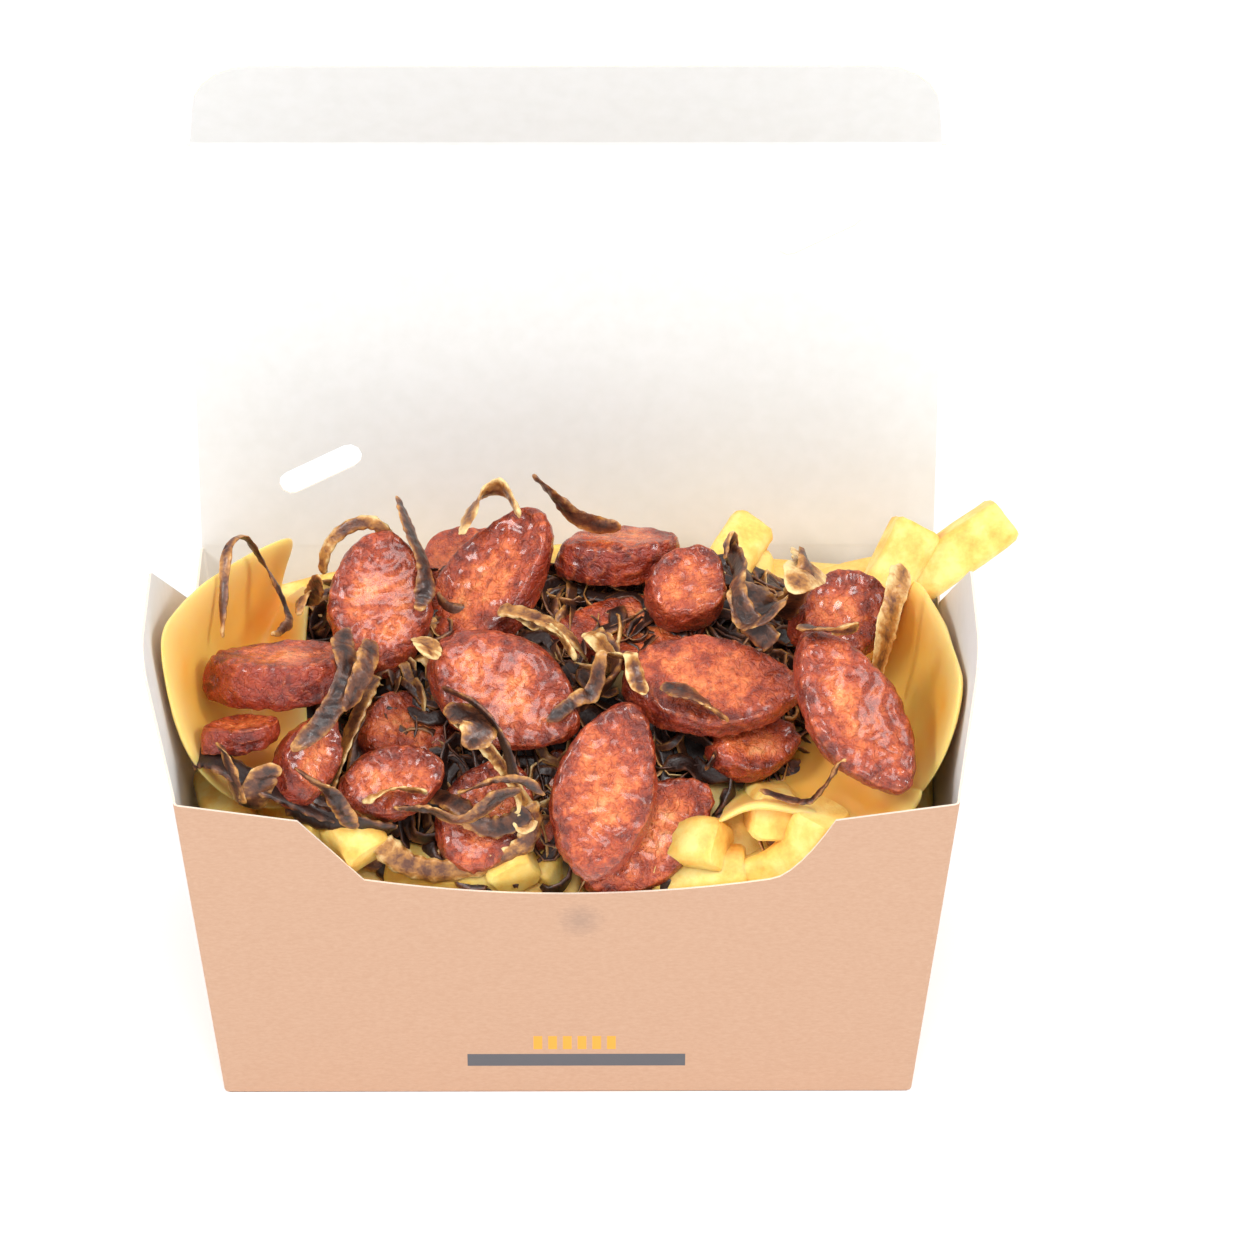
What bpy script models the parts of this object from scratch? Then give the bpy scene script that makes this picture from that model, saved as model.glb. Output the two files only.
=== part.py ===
"""Fries in an open folding carton, under cheese slices, sliced sausage and fried onion.

Metres, +Z up, the open front faces -Y. The origin is the middle of the carton's underside.
The carton is a board tray with a lid, a tuck flap on the lid and a dust flap at each side.
The food is laid from the bottom up: each piece comes to rest on what is already there.
"""
import math
import random

import bmesh
import bpy
import numpy as np
from mathutils import Matrix, Vector
from mathutils.bvhtree import BVHTree

MM = 0.001

# Carton, in millimetres
BOARD = 0.6
RIM_WIDTH = 180.0
RIM_DEPTH = 106.0
BASE_WIDTH = 165.0
BASE_DEPTH = 86.0
HEIGHT = 93.5
CORNER_RADIUS = 1.2
CREASE_GAP = 0.5
AXIS_LIFT = 0.35

# Front edge of the tray: sloping shoulders and a wide dip between them
SHOULDER_X = 62.0
SHOULDER_DROP = 5.0
DIP_X = 48.0
DIP_DROP = 23.5
DIP_BELLY = 4.5

# Lid with its tuck flap and two steam slots
LID_WIDTH = 179.2
LID_HEIGHT = 106.0
LID_LEAN = 7.5
TUCK_HEIGHT = 26.0
TUCK_FOLD = 25.0
TUCK_CORNER = 15.0
SLOT_LENGTH = 22.0
SLOT_WIDTH = 6.0
SLOT_TURN = 27.0
SLOT_X = 60.0
SLOT_UP = (21.0, 84.0)

# Dust flaps on the side walls
FLAP_HEIGHT = 41.0
FLAP_TOP_FRONT = 7.0
FLAP_TOP_BACK = 36.0
FLAP_CREASE_BACK = 80.0
FLAP_LEAN_LEFT = 8.0
FLAP_LEAN_RIGHT = 4.5

# Food
TOUCH = 0.35
FRY = 11.0
CHEESE_THICK = 2.4
ONION_THICK = 1.1
SLICE_POINT = (0.14, 0.38)    # how much narrower than an oval a slice gets towards its ends

# Height of the pile's bare core at stations from front (-1) to back (1)
MIDDLE_PROFILE = ((-1.0, 57), (-0.7, 74), (-0.35, 91), (0.0, 101), (0.35, 106), (0.6, 104), (0.85, 96), (1.0, 86))
SIDE_PROFILE = ((-1.0, 66), (-0.6, 74), (0.0, 84), (0.5, 89), (0.8, 88), (1.0, 82))
EDGE_DROP = 12.0

# The way a slice sinks into the fries to come clear of the slices over it
INWARD = (0.0, 0.7, -0.7)


def material(name, color, roughness, metallic=0.0):
    """A Principled material of one colour (linear RGB)."""
    mat = bpy.data.materials.new(name)
    mat.use_nodes = True
    shader = mat.node_tree.nodes["Principled BSDF"]
    shader.inputs["Base Color"].default_value = (*color, 1.0)
    shader.inputs["Roughness"].default_value = roughness
    shader.inputs["Metallic"].default_value = metallic
    mat.diffuse_color = (*color, 1.0)
    return mat


def new_object(name, verts, faces, mat, smooth=None):
    """An object in the scene from points in millimetres; smooth is its sharp angle in degrees."""
    mesh = bpy.data.meshes.new(name)
    mesh.from_pydata([Vector(v) * MM for v in verts], [], faces)
    bm = bmesh.new()
    bm.from_mesh(mesh)
    bmesh.ops.triangulate(bm, faces=bm.faces[:])
    bmesh.ops.recalc_face_normals(bm, faces=bm.faces[:])
    bm.to_mesh(mesh)
    bm.free()
    if smooth is not None:
        mesh.shade_smooth()
        mesh.set_sharp_from_angle(angle=math.radians(smooth))
    obj = bpy.data.objects.new(name, mesh)
    if mat is not None:
        mesh.materials.append(mat)
    bpy.context.scene.collection.objects.link(obj)
    return obj


def loft(rings):
    """Points and faces of a closed skin through rings of equal length, with flat ends."""
    count = len(rings[0])
    verts = [p for ring in rings for p in ring]
    faces = []
    for r in range(len(rings) - 1):
        for i in range(count):
            j = (i + 1) % count
            faces.append((r * count + i, r * count + j, (r + 1) * count + j, (r + 1) * count + i))
    faces.append(tuple(reversed(range(count))))
    faces.append(tuple((len(rings) - 1) * count + i for i in range(count)))
    return verts, faces


def front_edge_height(x):
    """Height of the tray's front edge at x, measured where the rim would be."""
    shoulder = HEIGHT - SHOULDER_DROP * (RIM_WIDTH / 2 - abs(x)) / (RIM_WIDTH / 2 - SHOULDER_X)
    if abs(x) >= SHOULDER_X:
        return shoulder
    if abs(x) <= DIP_X:
        return HEIGHT - DIP_DROP - DIP_BELLY * (1 - (x / DIP_X) ** 2)
    way = (abs(x) - DIP_X) / (SHOULDER_X - DIP_X)
    if x > 0:
        way = way ** 1.7
    return HEIGHT - DIP_DROP + (DIP_DROP - SHOULDER_DROP) * way


def front_stations():
    """Places across the front where its edge needs a point, from right to left."""
    ends = (RIM_WIDTH / 2 - CORNER_RADIUS, SHOULDER_X, DIP_X, -DIP_X, -SHOULDER_X, -RIM_WIDTH / 2 + CORNER_RADIUS)
    steps = (3, 6, 14, 2, 3)
    places = []
    for a, b, n in zip(ends, ends[1:], steps):
        places += [a + (b - a) * i / n for i in range(n)]
    return places + [ends[-1]]


def tray_loop(inset):
    """The tray's outline seen from above, as pairs of rim place and base place."""
    loop = []
    radius = CORNER_RADIUS - min(inset, CORNER_RADIUS * 0.6)
    for sx, sy, start in ((1, 1, 0), (-1, 1, 90), (-1, -1, 180), (1, -1, 270)):
        for k in range(3):
            a = math.radians(start + 45 * k)
            rim = [sx * (RIM_WIDTH / 2 - inset - radius) + radius * math.cos(a),
                   sy * (RIM_DEPTH / 2 - inset - radius) + radius * math.sin(a)]
            base = [sx * (BASE_WIDTH / 2 - inset - radius) + radius * math.cos(a),
                    sy * (BASE_DEPTH / 2 - inset - radius) + radius * math.sin(a)]
            loop.append((rim, base))
        if (sx, sy) == (-1, -1):
            for x in reversed(front_stations()[1:-1]):
                ratio = (BASE_WIDTH / 2 - inset) / (RIM_WIDTH / 2 - inset)
                loop.append(([x, -(RIM_DEPTH / 2 - inset)], [x * ratio, -(BASE_DEPTH / 2 - inset)]))
    return loop


def tray():
    """Base and four leaning walls of one folded board."""
    rings = []
    outer, inner = tray_loop(0.0), tray_loop(BOARD)
    edge = []
    for rim, _ in outer:
        on_front = rim[1] < -RIM_DEPTH / 2 + CORNER_RADIUS * 0.5
        edge.append(front_edge_height(rim[0]) if on_front else HEIGHT)

    def at(pair, z):
        rim, base = pair
        f = z / HEIGHT
        return (base[0] + (rim[0] - base[0]) * f, base[1] + (rim[1] - base[1]) * f, z)

    def shrunk(point, by):
        return (point[0] - math.copysign(by, point[0]), point[1] - math.copysign(by, point[1]), point[2])

    rings.append([shrunk(at(p, 0.0), 0.5) for p in outer])
    rings.append([at(p, 0.5) for p in outer])
    rings.append([at(p, z) for p, z in zip(outer, edge)])
    rings.append([at(p, z) for p, z in zip(inner, edge)])
    rings.append([at(p, BOARD) for p in inner])
    verts, faces = loft(rings)
    return new_object("tray", verts, faces, MATERIALS["board"], smooth=35)


def plate(name, outline, mat):
    """A board panel in its own plane, X across and Z up from the crease, centred on Y."""
    near = [(x, -BOARD / 2, z) for x, z in outline]
    far = [(x, BOARD / 2, z) for x, z in outline]
    verts, faces = loft([near, far])
    return new_object(name, verts, faces, mat, smooth=35)


def arc(cx, cz, radius, start, end, steps=5):
    """Points of an arc, angles in degrees."""
    return [(cx + radius * math.cos(math.radians(start + (end - start) * i / steps)),
             cz + radius * math.sin(math.radians(start + (end - start) * i / steps))) for i in range(steps + 1)]


def lid_and_tuck():
    """The lid leaning back behind the tray, with its slots, and the tuck flap at its top."""
    half = LID_WIDTH / 2
    low, high = CREASE_GAP, LID_HEIGHT - CREASE_GAP
    lid = plate("lid", [(-half, low), (half, low), (half, high), (-half, high)], MATERIALS["board"])
    for side, up in zip((-1, 1), SLOT_UP):
        straight = SLOT_LENGTH / 2 - SLOT_WIDTH / 2
        outline = arc(straight, 0, SLOT_WIDTH / 2, -90, 90) + arc(-straight, 0, SLOT_WIDTH / 2, 90, 270)
        near = [(x, -2.0, z) for x, z in outline]
        far = [(x, 2.0, z) for x, z in outline]
        verts, faces = loft([near, far])
        turn = Matrix.Rotation(-math.radians(SLOT_TURN), 3, "Y")
        verts = [turn @ Vector(v) + Vector((side * SLOT_X, 0, up)) for v in verts]
        cutter = new_object(f"slot_cutter_{side}", verts, faces, None)
        cutter.display_type = "WIRE"
        cutter.hide_render = True
        cutter.parent = lid
        cut = lid.modifiers.new(f"slot_{side}", "BOOLEAN")
        cut.object = cutter
        cut.operation = "DIFFERENCE"
    hinge = Vector((0, RIM_DEPTH / 2 - BOARD / 2, HEIGHT + AXIS_LIFT)) * MM
    lid.location = hinge
    lid.rotation_euler = (-math.radians(LID_LEAN), 0, 0)

    corner = TUCK_CORNER
    outline = [(-half + 1.0, low), (half - 1.0, low)]
    outline += arc(half - corner - 2.0, TUCK_HEIGHT - corner, corner, 0, 90)
    outline += arc(-half + corner + 2.0, TUCK_HEIGHT - corner, corner, 90, 180)
    tuck = plate("tuck_flap", outline, MATERIALS["board"])
    tuck.parent = lid
    tuck.location = Vector((0, 0, LID_HEIGHT)) * MM
    tuck.rotation_euler = (math.radians(TUCK_FOLD), 0, 0)


def dust_flaps():
    """A flap on each side wall, standing almost upright and cut away behind."""
    front = RIM_DEPTH / 2 - 1.5
    outline = [(-front, CREASE_GAP), (FLAP_CREASE_BACK - RIM_DEPTH / 2, CREASE_GAP)]
    outline += arc(FLAP_TOP_BACK - RIM_DEPTH / 2 - 3.0, FLAP_HEIGHT - 4.0, 4.0, 45, 90, 3)
    outline += arc(-front + FLAP_TOP_FRONT, FLAP_HEIGHT - FLAP_TOP_FRONT, FLAP_TOP_FRONT, 90, 180, 4)
    for name, side, lean in (("dust_flap_left", -1, FLAP_LEAN_LEFT), ("dust_flap_right", 1, FLAP_LEAN_RIGHT)):
        flap = plate(name, outline, MATERIALS["board"])
        axis = Vector((side * (RIM_WIDTH / 2 - BOARD / 2), 0, HEIGHT + AXIS_LIFT)) * MM
        flap.location = axis
        turn = Matrix.Rotation(side * math.radians(lean), 4, "Y") @ Matrix.Rotation(math.radians(90), 4, "Z")
        flap.rotation_euler = turn.to_euler()


def core_height(u, v):
    """Height of the bare core; u runs left to right and v front to back, both -1 to 1."""
    middle = np.interp(v, *zip(*MIDDLE_PROFILE))
    side = np.interp(v, *zip(*SIDE_PROFILE))
    blend = min(max((abs(u) - 0.42) / 0.34, 0.0), 1.0)
    blend = blend * blend * (3 - 2 * blend)
    fall = min(max((abs(u) - 0.88) / 0.12, 0.0), 1.0)
    ripple = 1.2 * math.sin(9.0 * u + 2.0 * v) * math.cos(7.0 * v - 3.0 * u)
    return float(middle + (side - middle) * blend - EDGE_DROP * fall * fall + ripple * (1 - fall))


def inside(z, sx, sy):
    """Half size of the room inside the tray's walls at height z, scaled by sx and sy."""
    f = z / HEIGHT
    x = BASE_WIDTH / 2 + (RIM_WIDTH - BASE_WIDTH) / 2 * f - BOARD - TOUCH - 0.1
    y = BASE_DEPTH / 2 + (RIM_DEPTH - BASE_DEPTH) / 2 * f - BOARD - TOUCH - 0.1
    return sx * x, sy * y


def core():
    """The pile's plain inside, from the tray's base up to a bumpy top."""
    nx, ny = 16, 10
    verts, index = [], {}
    for i in range(nx + 1):
        for j in range(ny + 1):
            u, v = -1 + 2 * i / nx, -1 + 2 * j / ny
            z = core_height(u, v)
            index[i, j] = len(verts)
            verts.append((*inside(z, u, v), z))
    faces = [(index[i, j], index[i + 1, j], index[i + 1, j + 1], index[i, j + 1])
             for i in range(nx) for j in range(ny)]
    rim = [(i, 0) for i in range(nx)] + [(nx, j) for j in range(ny)]
    rim += [(i, ny) for i in range(nx, 0, -1)] + [(0, j) for j in range(ny, 0, -1)]
    low = BOARD + TOUCH + 0.1
    base = []
    for i, j in rim:
        base.append(len(verts))
        verts.append((*inside(low, -1 + 2 * i / nx, -1 + 2 * j / ny), low))
    for k, place in enumerate(rim):
        n = (k + 1) % len(rim)
        faces.append((index[place], base[k], base[n], index[rim[n]]))
    faces.append(tuple(base))
    return new_object("fries", verts, faces, MATERIALS["fry"])


def fry(points, size=FRY, turn=20.0, name="loose_fry"):
    """A curved fry through three points, square with its edges taken off."""
    a, b, c = (Vector(p) for p in points)
    rings = []
    for k in range(5):
        t = k / 4
        p = a * (1 - t) ** 2 + b * 2 * t * (1 - t) + c * t * t
        along = ((b - a) * (1 - t) + (c - b) * t).normalized()
        side = along.cross(Vector((0, 0, 1))).normalized()
        up = side.cross(along)
        half = size / 2 * (0.9 if k in (0, 4) else 1.0)
        ring = []
        for q in range(8):
            ang = math.radians(45 * q + 22.5 + turn)
            ring.append(p + (side * math.cos(ang) + up * math.sin(ang)) * half * 1.08)
        rings.append(ring)
    verts, faces = loft(rings)
    return new_object(name, verts, faces, None)


# Fries that show, each by its two ends and the point that bends it
SHOWN_FRIES = (
    ((-60, -30, 74), (-52, -40, 79), (-46, -47, 74)),
    ((-18, -20, 66), (-15, -36, 70), (-12, -46.5, 67)),
    ((16, -30, 64), (26, -38, 72), (36, -43, 74)),
    ((28, -41, 62), (55, -42, 60), (59, -44, 85)),
    ((44, -12, 70), (47, -30, 76), (48.5, -43, 82)),
    ((8, -26, 60), (16, -38, 63), (24, -43, 65)),
    ((30, 8, 98), (40, 34, 106), (44, 42, 104)),
    ((64, 8, 88), (78, 26, 102), (84, 34, 112)),
    ((48, 12, 84), (78, 27, 95), (106, 40, 111)),
    ((40, 26, 92), (64, 36, 98), (84, 42, 96)),
)


def scattered_fries(count, seed):
    """Fries lying at odd angles along the back of the pile."""
    rng = random.Random(seed)
    found = []
    for k in range(count):
        x = -74 + 148 * (k + rng.uniform(0.2, 0.8)) / count
        y = rng.uniform(27, 41)
        heading = math.radians(rng.uniform(-70, 70))
        half = rng.uniform(20, 30)
        z = core_height(x / 88, y / 51) + rng.uniform(-3, 2)
        dx, dy = half * math.cos(heading), half * math.sin(heading) * 0.35
        y_low, y_high = y - abs(dy), min(y + abs(dy), 45.5)
        ends = []
        for s in (-1, 1):
            ex = max(min(x + s * dx, 78), -78)
            ey = (y_low if s * dy < 0 else y_high)
            ends.append((ex, ey, min(z, core_height(ex / 88, ey / 51) + 3)))
        found.append((ends[0], (x, y, z + 3), ends[1]))
    return found


def patch_point(grid, s, t):
    """A point of the smooth sheet that a grid of control points pulls into shape."""
    def blend(points, w):
        points = [Vector(p) for p in points]
        while len(points) > 1:
            points = [a.lerp(b, w) for a, b in zip(points, points[1:])]
        return points[0]
    return blend([blend(row, s) for row in grid], t)


def sheet(name, grid, thick, steps, mat, grow=0.0):
    """A bent slice of even thickness over a control grid, grown on every side by grow."""
    n = steps
    lo, hi = -grow / 80.0, 1 + grow / 80.0
    points, normals = {}, {}
    for i in range(n + 1):
        for j in range(n + 1):
            s, t = lo + (hi - lo) * i / n, lo + (hi - lo) * j / n
            p = patch_point(grid, s, t)
            ds = patch_point(grid, s + 0.01, t) - patch_point(grid, s - 0.01, t)
            dt = patch_point(grid, s, t + 0.01) - patch_point(grid, s, t - 0.01)
            points[i, j] = p
            normals[i, j] = ds.cross(dt).normalized()
    half = thick / 2 + grow
    verts = [points[k] + normals[k] * half for k in points] + [points[k] - normals[k] * half for k in points]
    index = {k: m for m, k in enumerate(points)}
    shift = len(points)
    faces = []
    for i in range(n):
        for j in range(n):
            quad = (index[i, j], index[i + 1, j], index[i + 1, j + 1], index[i, j + 1])
            faces.append(quad)
            faces.append(tuple(q + shift for q in reversed(quad)))
    rim = [(i, 0) for i in range(n)] + [(n, j) for j in range(n)]
    rim += [(i, n) for i in range(n, 0, -1)] + [(0, j) for j in range(n, 0, -1)]
    for k, place in enumerate(rim):
        a, b = index[place], index[rim[(k + 1) % len(rim)]]
        faces.append((b, a, a + shift, b + shift))
    return new_object(name, verts, faces, mat, smooth=40)


# Cheese slices: rows of control points from the low edge to the top edge, front to back
CHEESE = {
    "cheese_left": (
        ((-58, -40, 84), (-63, -4, 95), (-62, 32, 98)),
        ((-90, -46, 76), (-89, -4, 78), (-76, 34, 80)),
        ((-92.5, -41, 133), (-87, -2, 124), (-64, 31, 113)),
    ),
    "cheese_right_back": (
        ((60, -34, 72), (58, -4, 83), (54, 30, 88)),
        ((88, -43, 76), (86, -8, 78), (76, 30, 80)),
        ((90, -45, 122), (90, -10, 114), (83, 25, 104)),
    ),
    "cheese_right_front": (
        ((34, -46, 82), (44, -44, 104), (79, -47, 60), (83, -46.5, 94)),
        ((38, -28, 74), (48, -26, 74), (62, -30, 80), (74, -34, 81)),
        ((40, -10, 76), (50, -10, 78), (59, -14, 90), (65, -18, 90)),
    ),
}


def islands(bm):
    """Groups of faces that hang together."""
    left, groups = set(bm.faces), []
    while left:
        stack, group = [left.pop()], []
        while stack:
            face = stack.pop()
            group.append(face)
            for edge in face.edges:
                for other in edge.link_faces:
                    if other in left:
                        left.remove(other)
                        stack.append(other)
        groups.append(group)
    return groups


def boolean_with(obj, others, operation):
    """Applies one Boolean with a set of objects, which are then removed."""
    folder = bpy.data.collections.new(f"{obj.name}_{operation.lower()}")
    bpy.context.scene.collection.children.link(folder)
    for other in others:
        bpy.context.scene.collection.objects.unlink(other)
        folder.objects.link(other)
    step = obj.modifiers.new(operation.lower(), "BOOLEAN")
    step.operation = operation
    step.operand_type = "COLLECTION"
    step.collection = folder
    bpy.context.view_layer.update()
    result = bpy.data.meshes.new_from_object(obj.evaluated_get(bpy.context.evaluated_depsgraph_get()))
    obj.modifiers.clear()
    obj.data = result
    for other in list(folder.objects):
        bpy.data.objects.remove(other)
    bpy.data.collections.remove(folder)


def tidy_mesh(obj):
    """Keeps the largest closed body of a mesh and welds points that all but meet."""
    bm = bmesh.new()
    bm.from_mesh(obj.data)
    bmesh.ops.remove_doubles(bm, verts=bm.verts[:], dist=0.02 * MM)
    bmesh.ops.dissolve_degenerate(bm, edges=bm.edges[:], dist=0.02 * MM)
    groups = sorted(islands(bm), key=len)
    scraps = [face for group in groups[:-1] for face in group]
    bmesh.ops.delete(bm, geom=scraps, context="FACES")
    loose = [v for v in bm.verts if not v.link_faces]
    bmesh.ops.delete(bm, geom=loose, context="VERTS")
    bmesh.ops.triangulate(bm, faces=bm.faces[:])
    bm.to_mesh(obj.data)
    bm.free()


def pile_of_fries(rooms):
    """The fries as one body, with room cut for what stands and lies in them."""
    pile = core()
    loose = [fry(points, turn=17.0 * k) for k, points in enumerate(SHOWN_FRIES)]
    loose += [fry(points, turn=23.0 * k) for k, points in enumerate(scattered_fries(9, seed=4))]
    boolean_with(pile, loose, "UNION")
    boolean_with(pile, rooms, "DIFFERENCE")
    tidy_mesh(pile)
    pile.data.materials.clear()
    pile.data.materials.append(MATERIALS["fry"])
    return pile


class Pile:
    """The food laid so far, as surfaces that the next piece comes to rest on."""

    def __init__(self, objects):
        self.trees = []
        for obj in objects:
            self.add(obj)

    def add(self, obj):
        """Counts one more piece as laid."""
        verts = [obj.matrix_world @ v.co for v in obj.data.vertices]
        self.trees.append(BVHTree.FromPolygons(verts, [tuple(p.vertices) for p in obj.data.polygons]))

    def height(self, x, y):
        """Top of the pile at x, y in millimetres."""
        start = Vector((x, y, 250)) * MM
        hits = [tree.ray_cast(start, Vector((0, 0, -1)))[0] for tree in self.trees]
        return max([hit.z / MM for hit in hits if hit is not None] + [0.0])

    def crosses(self, verts, faces):
        """Whether a piece cuts into anything laid so far."""
        piece = BVHTree.FromPolygons(verts, faces)
        return any(piece.overlap(tree) for tree in self.trees)

    def settle(self, obj, way):
        """Moves a piece along a direction until it clears all that is laid, then counts it."""
        bpy.context.view_layer.update()
        faces = [tuple(p.vertices) for p in obj.data.polygons]
        grown = [obj.matrix_world @ (v.co + v.normal * TOUCH * MM) for v in obj.data.vertices]
        step = Vector(way).normalized() * 0.25 * MM
        moved = Vector()
        while self.crosses([v + moved for v in grown], faces):
            moved += step
        obj.location += moved
        bpy.context.view_layer.update()
        self.add(obj)


def slice_form(size, slant, taper, seed, sides=14, grow=0.0):
    """Rings of a slice cut at a slant: two oval cut faces and a strip of skin between."""
    rng = random.Random(seed)
    lobes = [(k, rng.uniform(0.01, 0.035), rng.uniform(0, 6.28)) for k in (2, 3, 5)]
    bow = rng.uniform(-0.6, 1.2)
    point = rng.uniform(*SLICE_POINT)
    length, width, thick = size
    profile = ((0.55, -0.47), (0.90, -0.5), (1.0, -0.34), (1.03, 0.0), (1.0, 0.34), (0.90, 0.5), (0.55, 0.46))
    if grow:
        length, width, thick = (s + 2 * grow for s in size)
        profile = ((1.02, -0.5), (1.12, 0.0), (1.02, 0.5))
    rings = []
    for reach, level in profile:
        ring = []
        for k in range(sides):
            a = 2 * math.pi * k / sides
            wobble = 1 + sum(amount * math.sin(n * a + phase + level) for n, amount, phase in lobes)
            narrow = (1 - taper * math.cos(a)) * (1 - point * math.cos(a) ** 2)
            x = length / 2 * reach * math.cos(a) * wobble
            y = width / 2 * reach * math.sin(a) * wobble * narrow
            z = thick * level + bow * (2 * x / length) ** 2
            ring.append(Vector((x + slant * thick * level, y, z)))
        rings.append(ring)
    return loft(rings)


def sausage(name, place, size, facing, heading, slant, taper, seed):
    """One slice of sausage in its place.

    place is the middle of the slice; size is length, width and thickness; facing is how far
    the upper cut face leans towards the front and to the right, in degrees.
    """
    verts, faces = slice_form(size, slant, taper, seed)
    obj = new_object(name, verts, faces, MATERIALS["sausage"], smooth=50)
    lean, side = (math.tan(math.radians(d)) for d in facing)
    normal = Vector((side, -lean, 1.0)).normalized()
    tilt = Vector((0, 0, 1)).rotation_difference(normal).to_matrix().to_4x4()
    turn = tilt @ Matrix.Rotation(math.radians(heading), 4, "Z")
    obj.matrix_world = Matrix.Translation(Vector(place) * MM) @ turn
    return obj


def slice_room(obj, size, slant, taper, seed):
    """A plainer, slightly larger slice in the same place, for cutting the pile."""
    verts, faces = slice_form(size, slant, taper, seed, sides=10, grow=0.9)
    room = new_object(f"room_{obj.name}", verts, faces, None)
    room.matrix_world = obj.matrix_world.copy()
    return room


def smooth_path(points, steps):
    """Points of a smooth curve through hand-set points."""
    points = [Vector(p) for p in points]
    points = [points[0] * 2 - points[1]] + points + [points[-1] * 2 - points[-2]]
    spans = len(points) - 3
    path = []
    for k in range(steps + 1):
        at = min(k / steps * spans, spans - 1e-6)
        i, t = int(at), at - int(at)
        p0, p1, p2, p3 = points[i:i + 4]
        path.append(0.5 * ((2 * p1) + (p2 - p0) * t + (2 * p0 - 5 * p1 + 4 * p2 - p3) * t * t
                           + (3 * p1 - p0 - 3 * p2 + p3) * t ** 3))
    return path


def onion(name, pile, route, width, roll=0.0, twist=0.0, seed=1):
    """A fried sliver of onion that lies over the pile along a route of x, y and lift."""
    rng = random.Random(seed)
    steps = 10
    path = smooth_path(route, steps)
    flat = []
    for k, p in enumerate(path):
        reach = width / 2
        heights = [pile.height(p.x + dx * reach, p.y + dy * reach) for dx in (-1, 0, 1) for dy in (-1, 0, 1)]
        flat.append(max(heights) + ONION_THICK * 0.6 + TOUCH)
    for _ in range(4):
        flat = [max(z, (flat[max(k - 1, 0)] + flat[min(k + 1, steps)]) / 2) for k, z in enumerate(flat)]
    path = [Vector((p.x, p.y, z + max(p.z, 0.0))) for p, z in zip(path, flat)]
    rings = []
    for k, p in enumerate(path):
        along = (path[min(k + 1, steps)] - path[max(k - 1, 0)]).normalized()
        side = along.cross(Vector((0, 0, 1)))
        side = side.normalized() if side.length > 0.05 else Vector((1, 0, 0))
        up = side.cross(along).normalized()
        turn = math.radians(roll + twist * k / steps)
        across = side * math.cos(turn) + up * math.sin(turn)
        out = up * math.cos(turn) - side * math.sin(turn)
        end = min(k, steps - k) / steps
        half = width / 2 * min(1.0, 0.35 + 3.2 * end) * rng.uniform(0.85, 1.1)
        thick = ONION_THICK / 2 * rng.uniform(0.85, 1.15)
        ring = [across * half + out * thick * 0.5, out * thick, -across * half + out * thick * 0.5,
                -across * half - out * thick * 0.5, -out * thick, across * half - out * thick * 0.5]
        rings.append([p + q for q in ring])
    verts, faces = loft(rings)
    obj = new_object(name, verts, faces, MATERIALS["onion"], smooth=40)
    return obj


# Sausage slices from the top of the pile down: place, size, facing, heading, slant, taper
SAUSAGE = (
    ("sausage_01", (9, -39.5, 87.5), (42, 24, 9), (52, 0), 78, 0.35, 0.1),
    ("sausage_02", (-15, -20, 102), (39, 27, 9), (46, 0), -28, 0.35, 0.0),
    ("sausage_03", (34, -20, 103), (42, 24, 9), (26, 0), -8, 0.35, 0.25),
    ("sausage_04", (66, -33.7, 105.5), (44, 22, 8), (42, 5), -58, 0.3, 0.0),
    ("sausage_05", (-65, -22, 108), (39, 20, 11), (-14, 0), 6, 0.2, 0.0),
    ("sausage_06", (-44, 4, 110), (34, 25, 9), (42, 5), 95, 0.35, 0.05),
    ("sausage_07", (-18, 9, 112), (43, 23, 9), (32, -25), 42, 0.35, 0.05),
    ("sausage_08", (28, 4, 114), (20, 19, 9), (35, 0), 60, 0.3, 0.0),
    ("sausage_09", (12, 17, 115.5), (29, 19, 10), (-14, 0), 0, 0.3, 0.0),
    ("sausage_10", (15, -4, 109), (40, 19, 9), (18, 0), 5, 0.3, 0.0),
    ("sausage_11", (18.5, -38, 73), (38, 22, 8), (52, 0), 40, 0.3, 0.1),
    ("sausage_12", (-41, -36, 87), (25, 18, 9), (42, -5), 10, 0.3, 0.0),
    ("sausage_13", (43, -25, 89.6), (21, 16, 7), (30, 10), 10, 0.3, 0.0),
    ("sausage_14", (64.5, 6, 105), (24, 22, 9), (35, 15), 30, 0.3, 0.0),
    ("sausage_15", (-26, 23, 110.5), (25, 18, 9), (15, 0), 20, 0.3, 0.0),
    ("sausage_16", (-19, -38, 79), (27, 22, 9), (48, 0), 60, 0.3, 0.1),
    ("sausage_17", (-38, -23, 94), (25, 19, 9), (30, 10), 20, 0.3, 0.0),
    ("sausage_18", (-47, -8, 97), (22, 18, 8), (30, -15), -40, 0.3, 0.0),
    ("sausage_19", (-60, -38, 95), (22, 15, 9), (40, 40), 85, 0.3, 0.0),
    ("sausage_20", (-75, -37, 102), (18, 11, 6), (-12, 0), 15, 0.2, 0.0),
    ("sausage_21", (-4, -35, 82), (24, 18, 9), (45, -15), 70, 0.3, 0.0),
)


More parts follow.
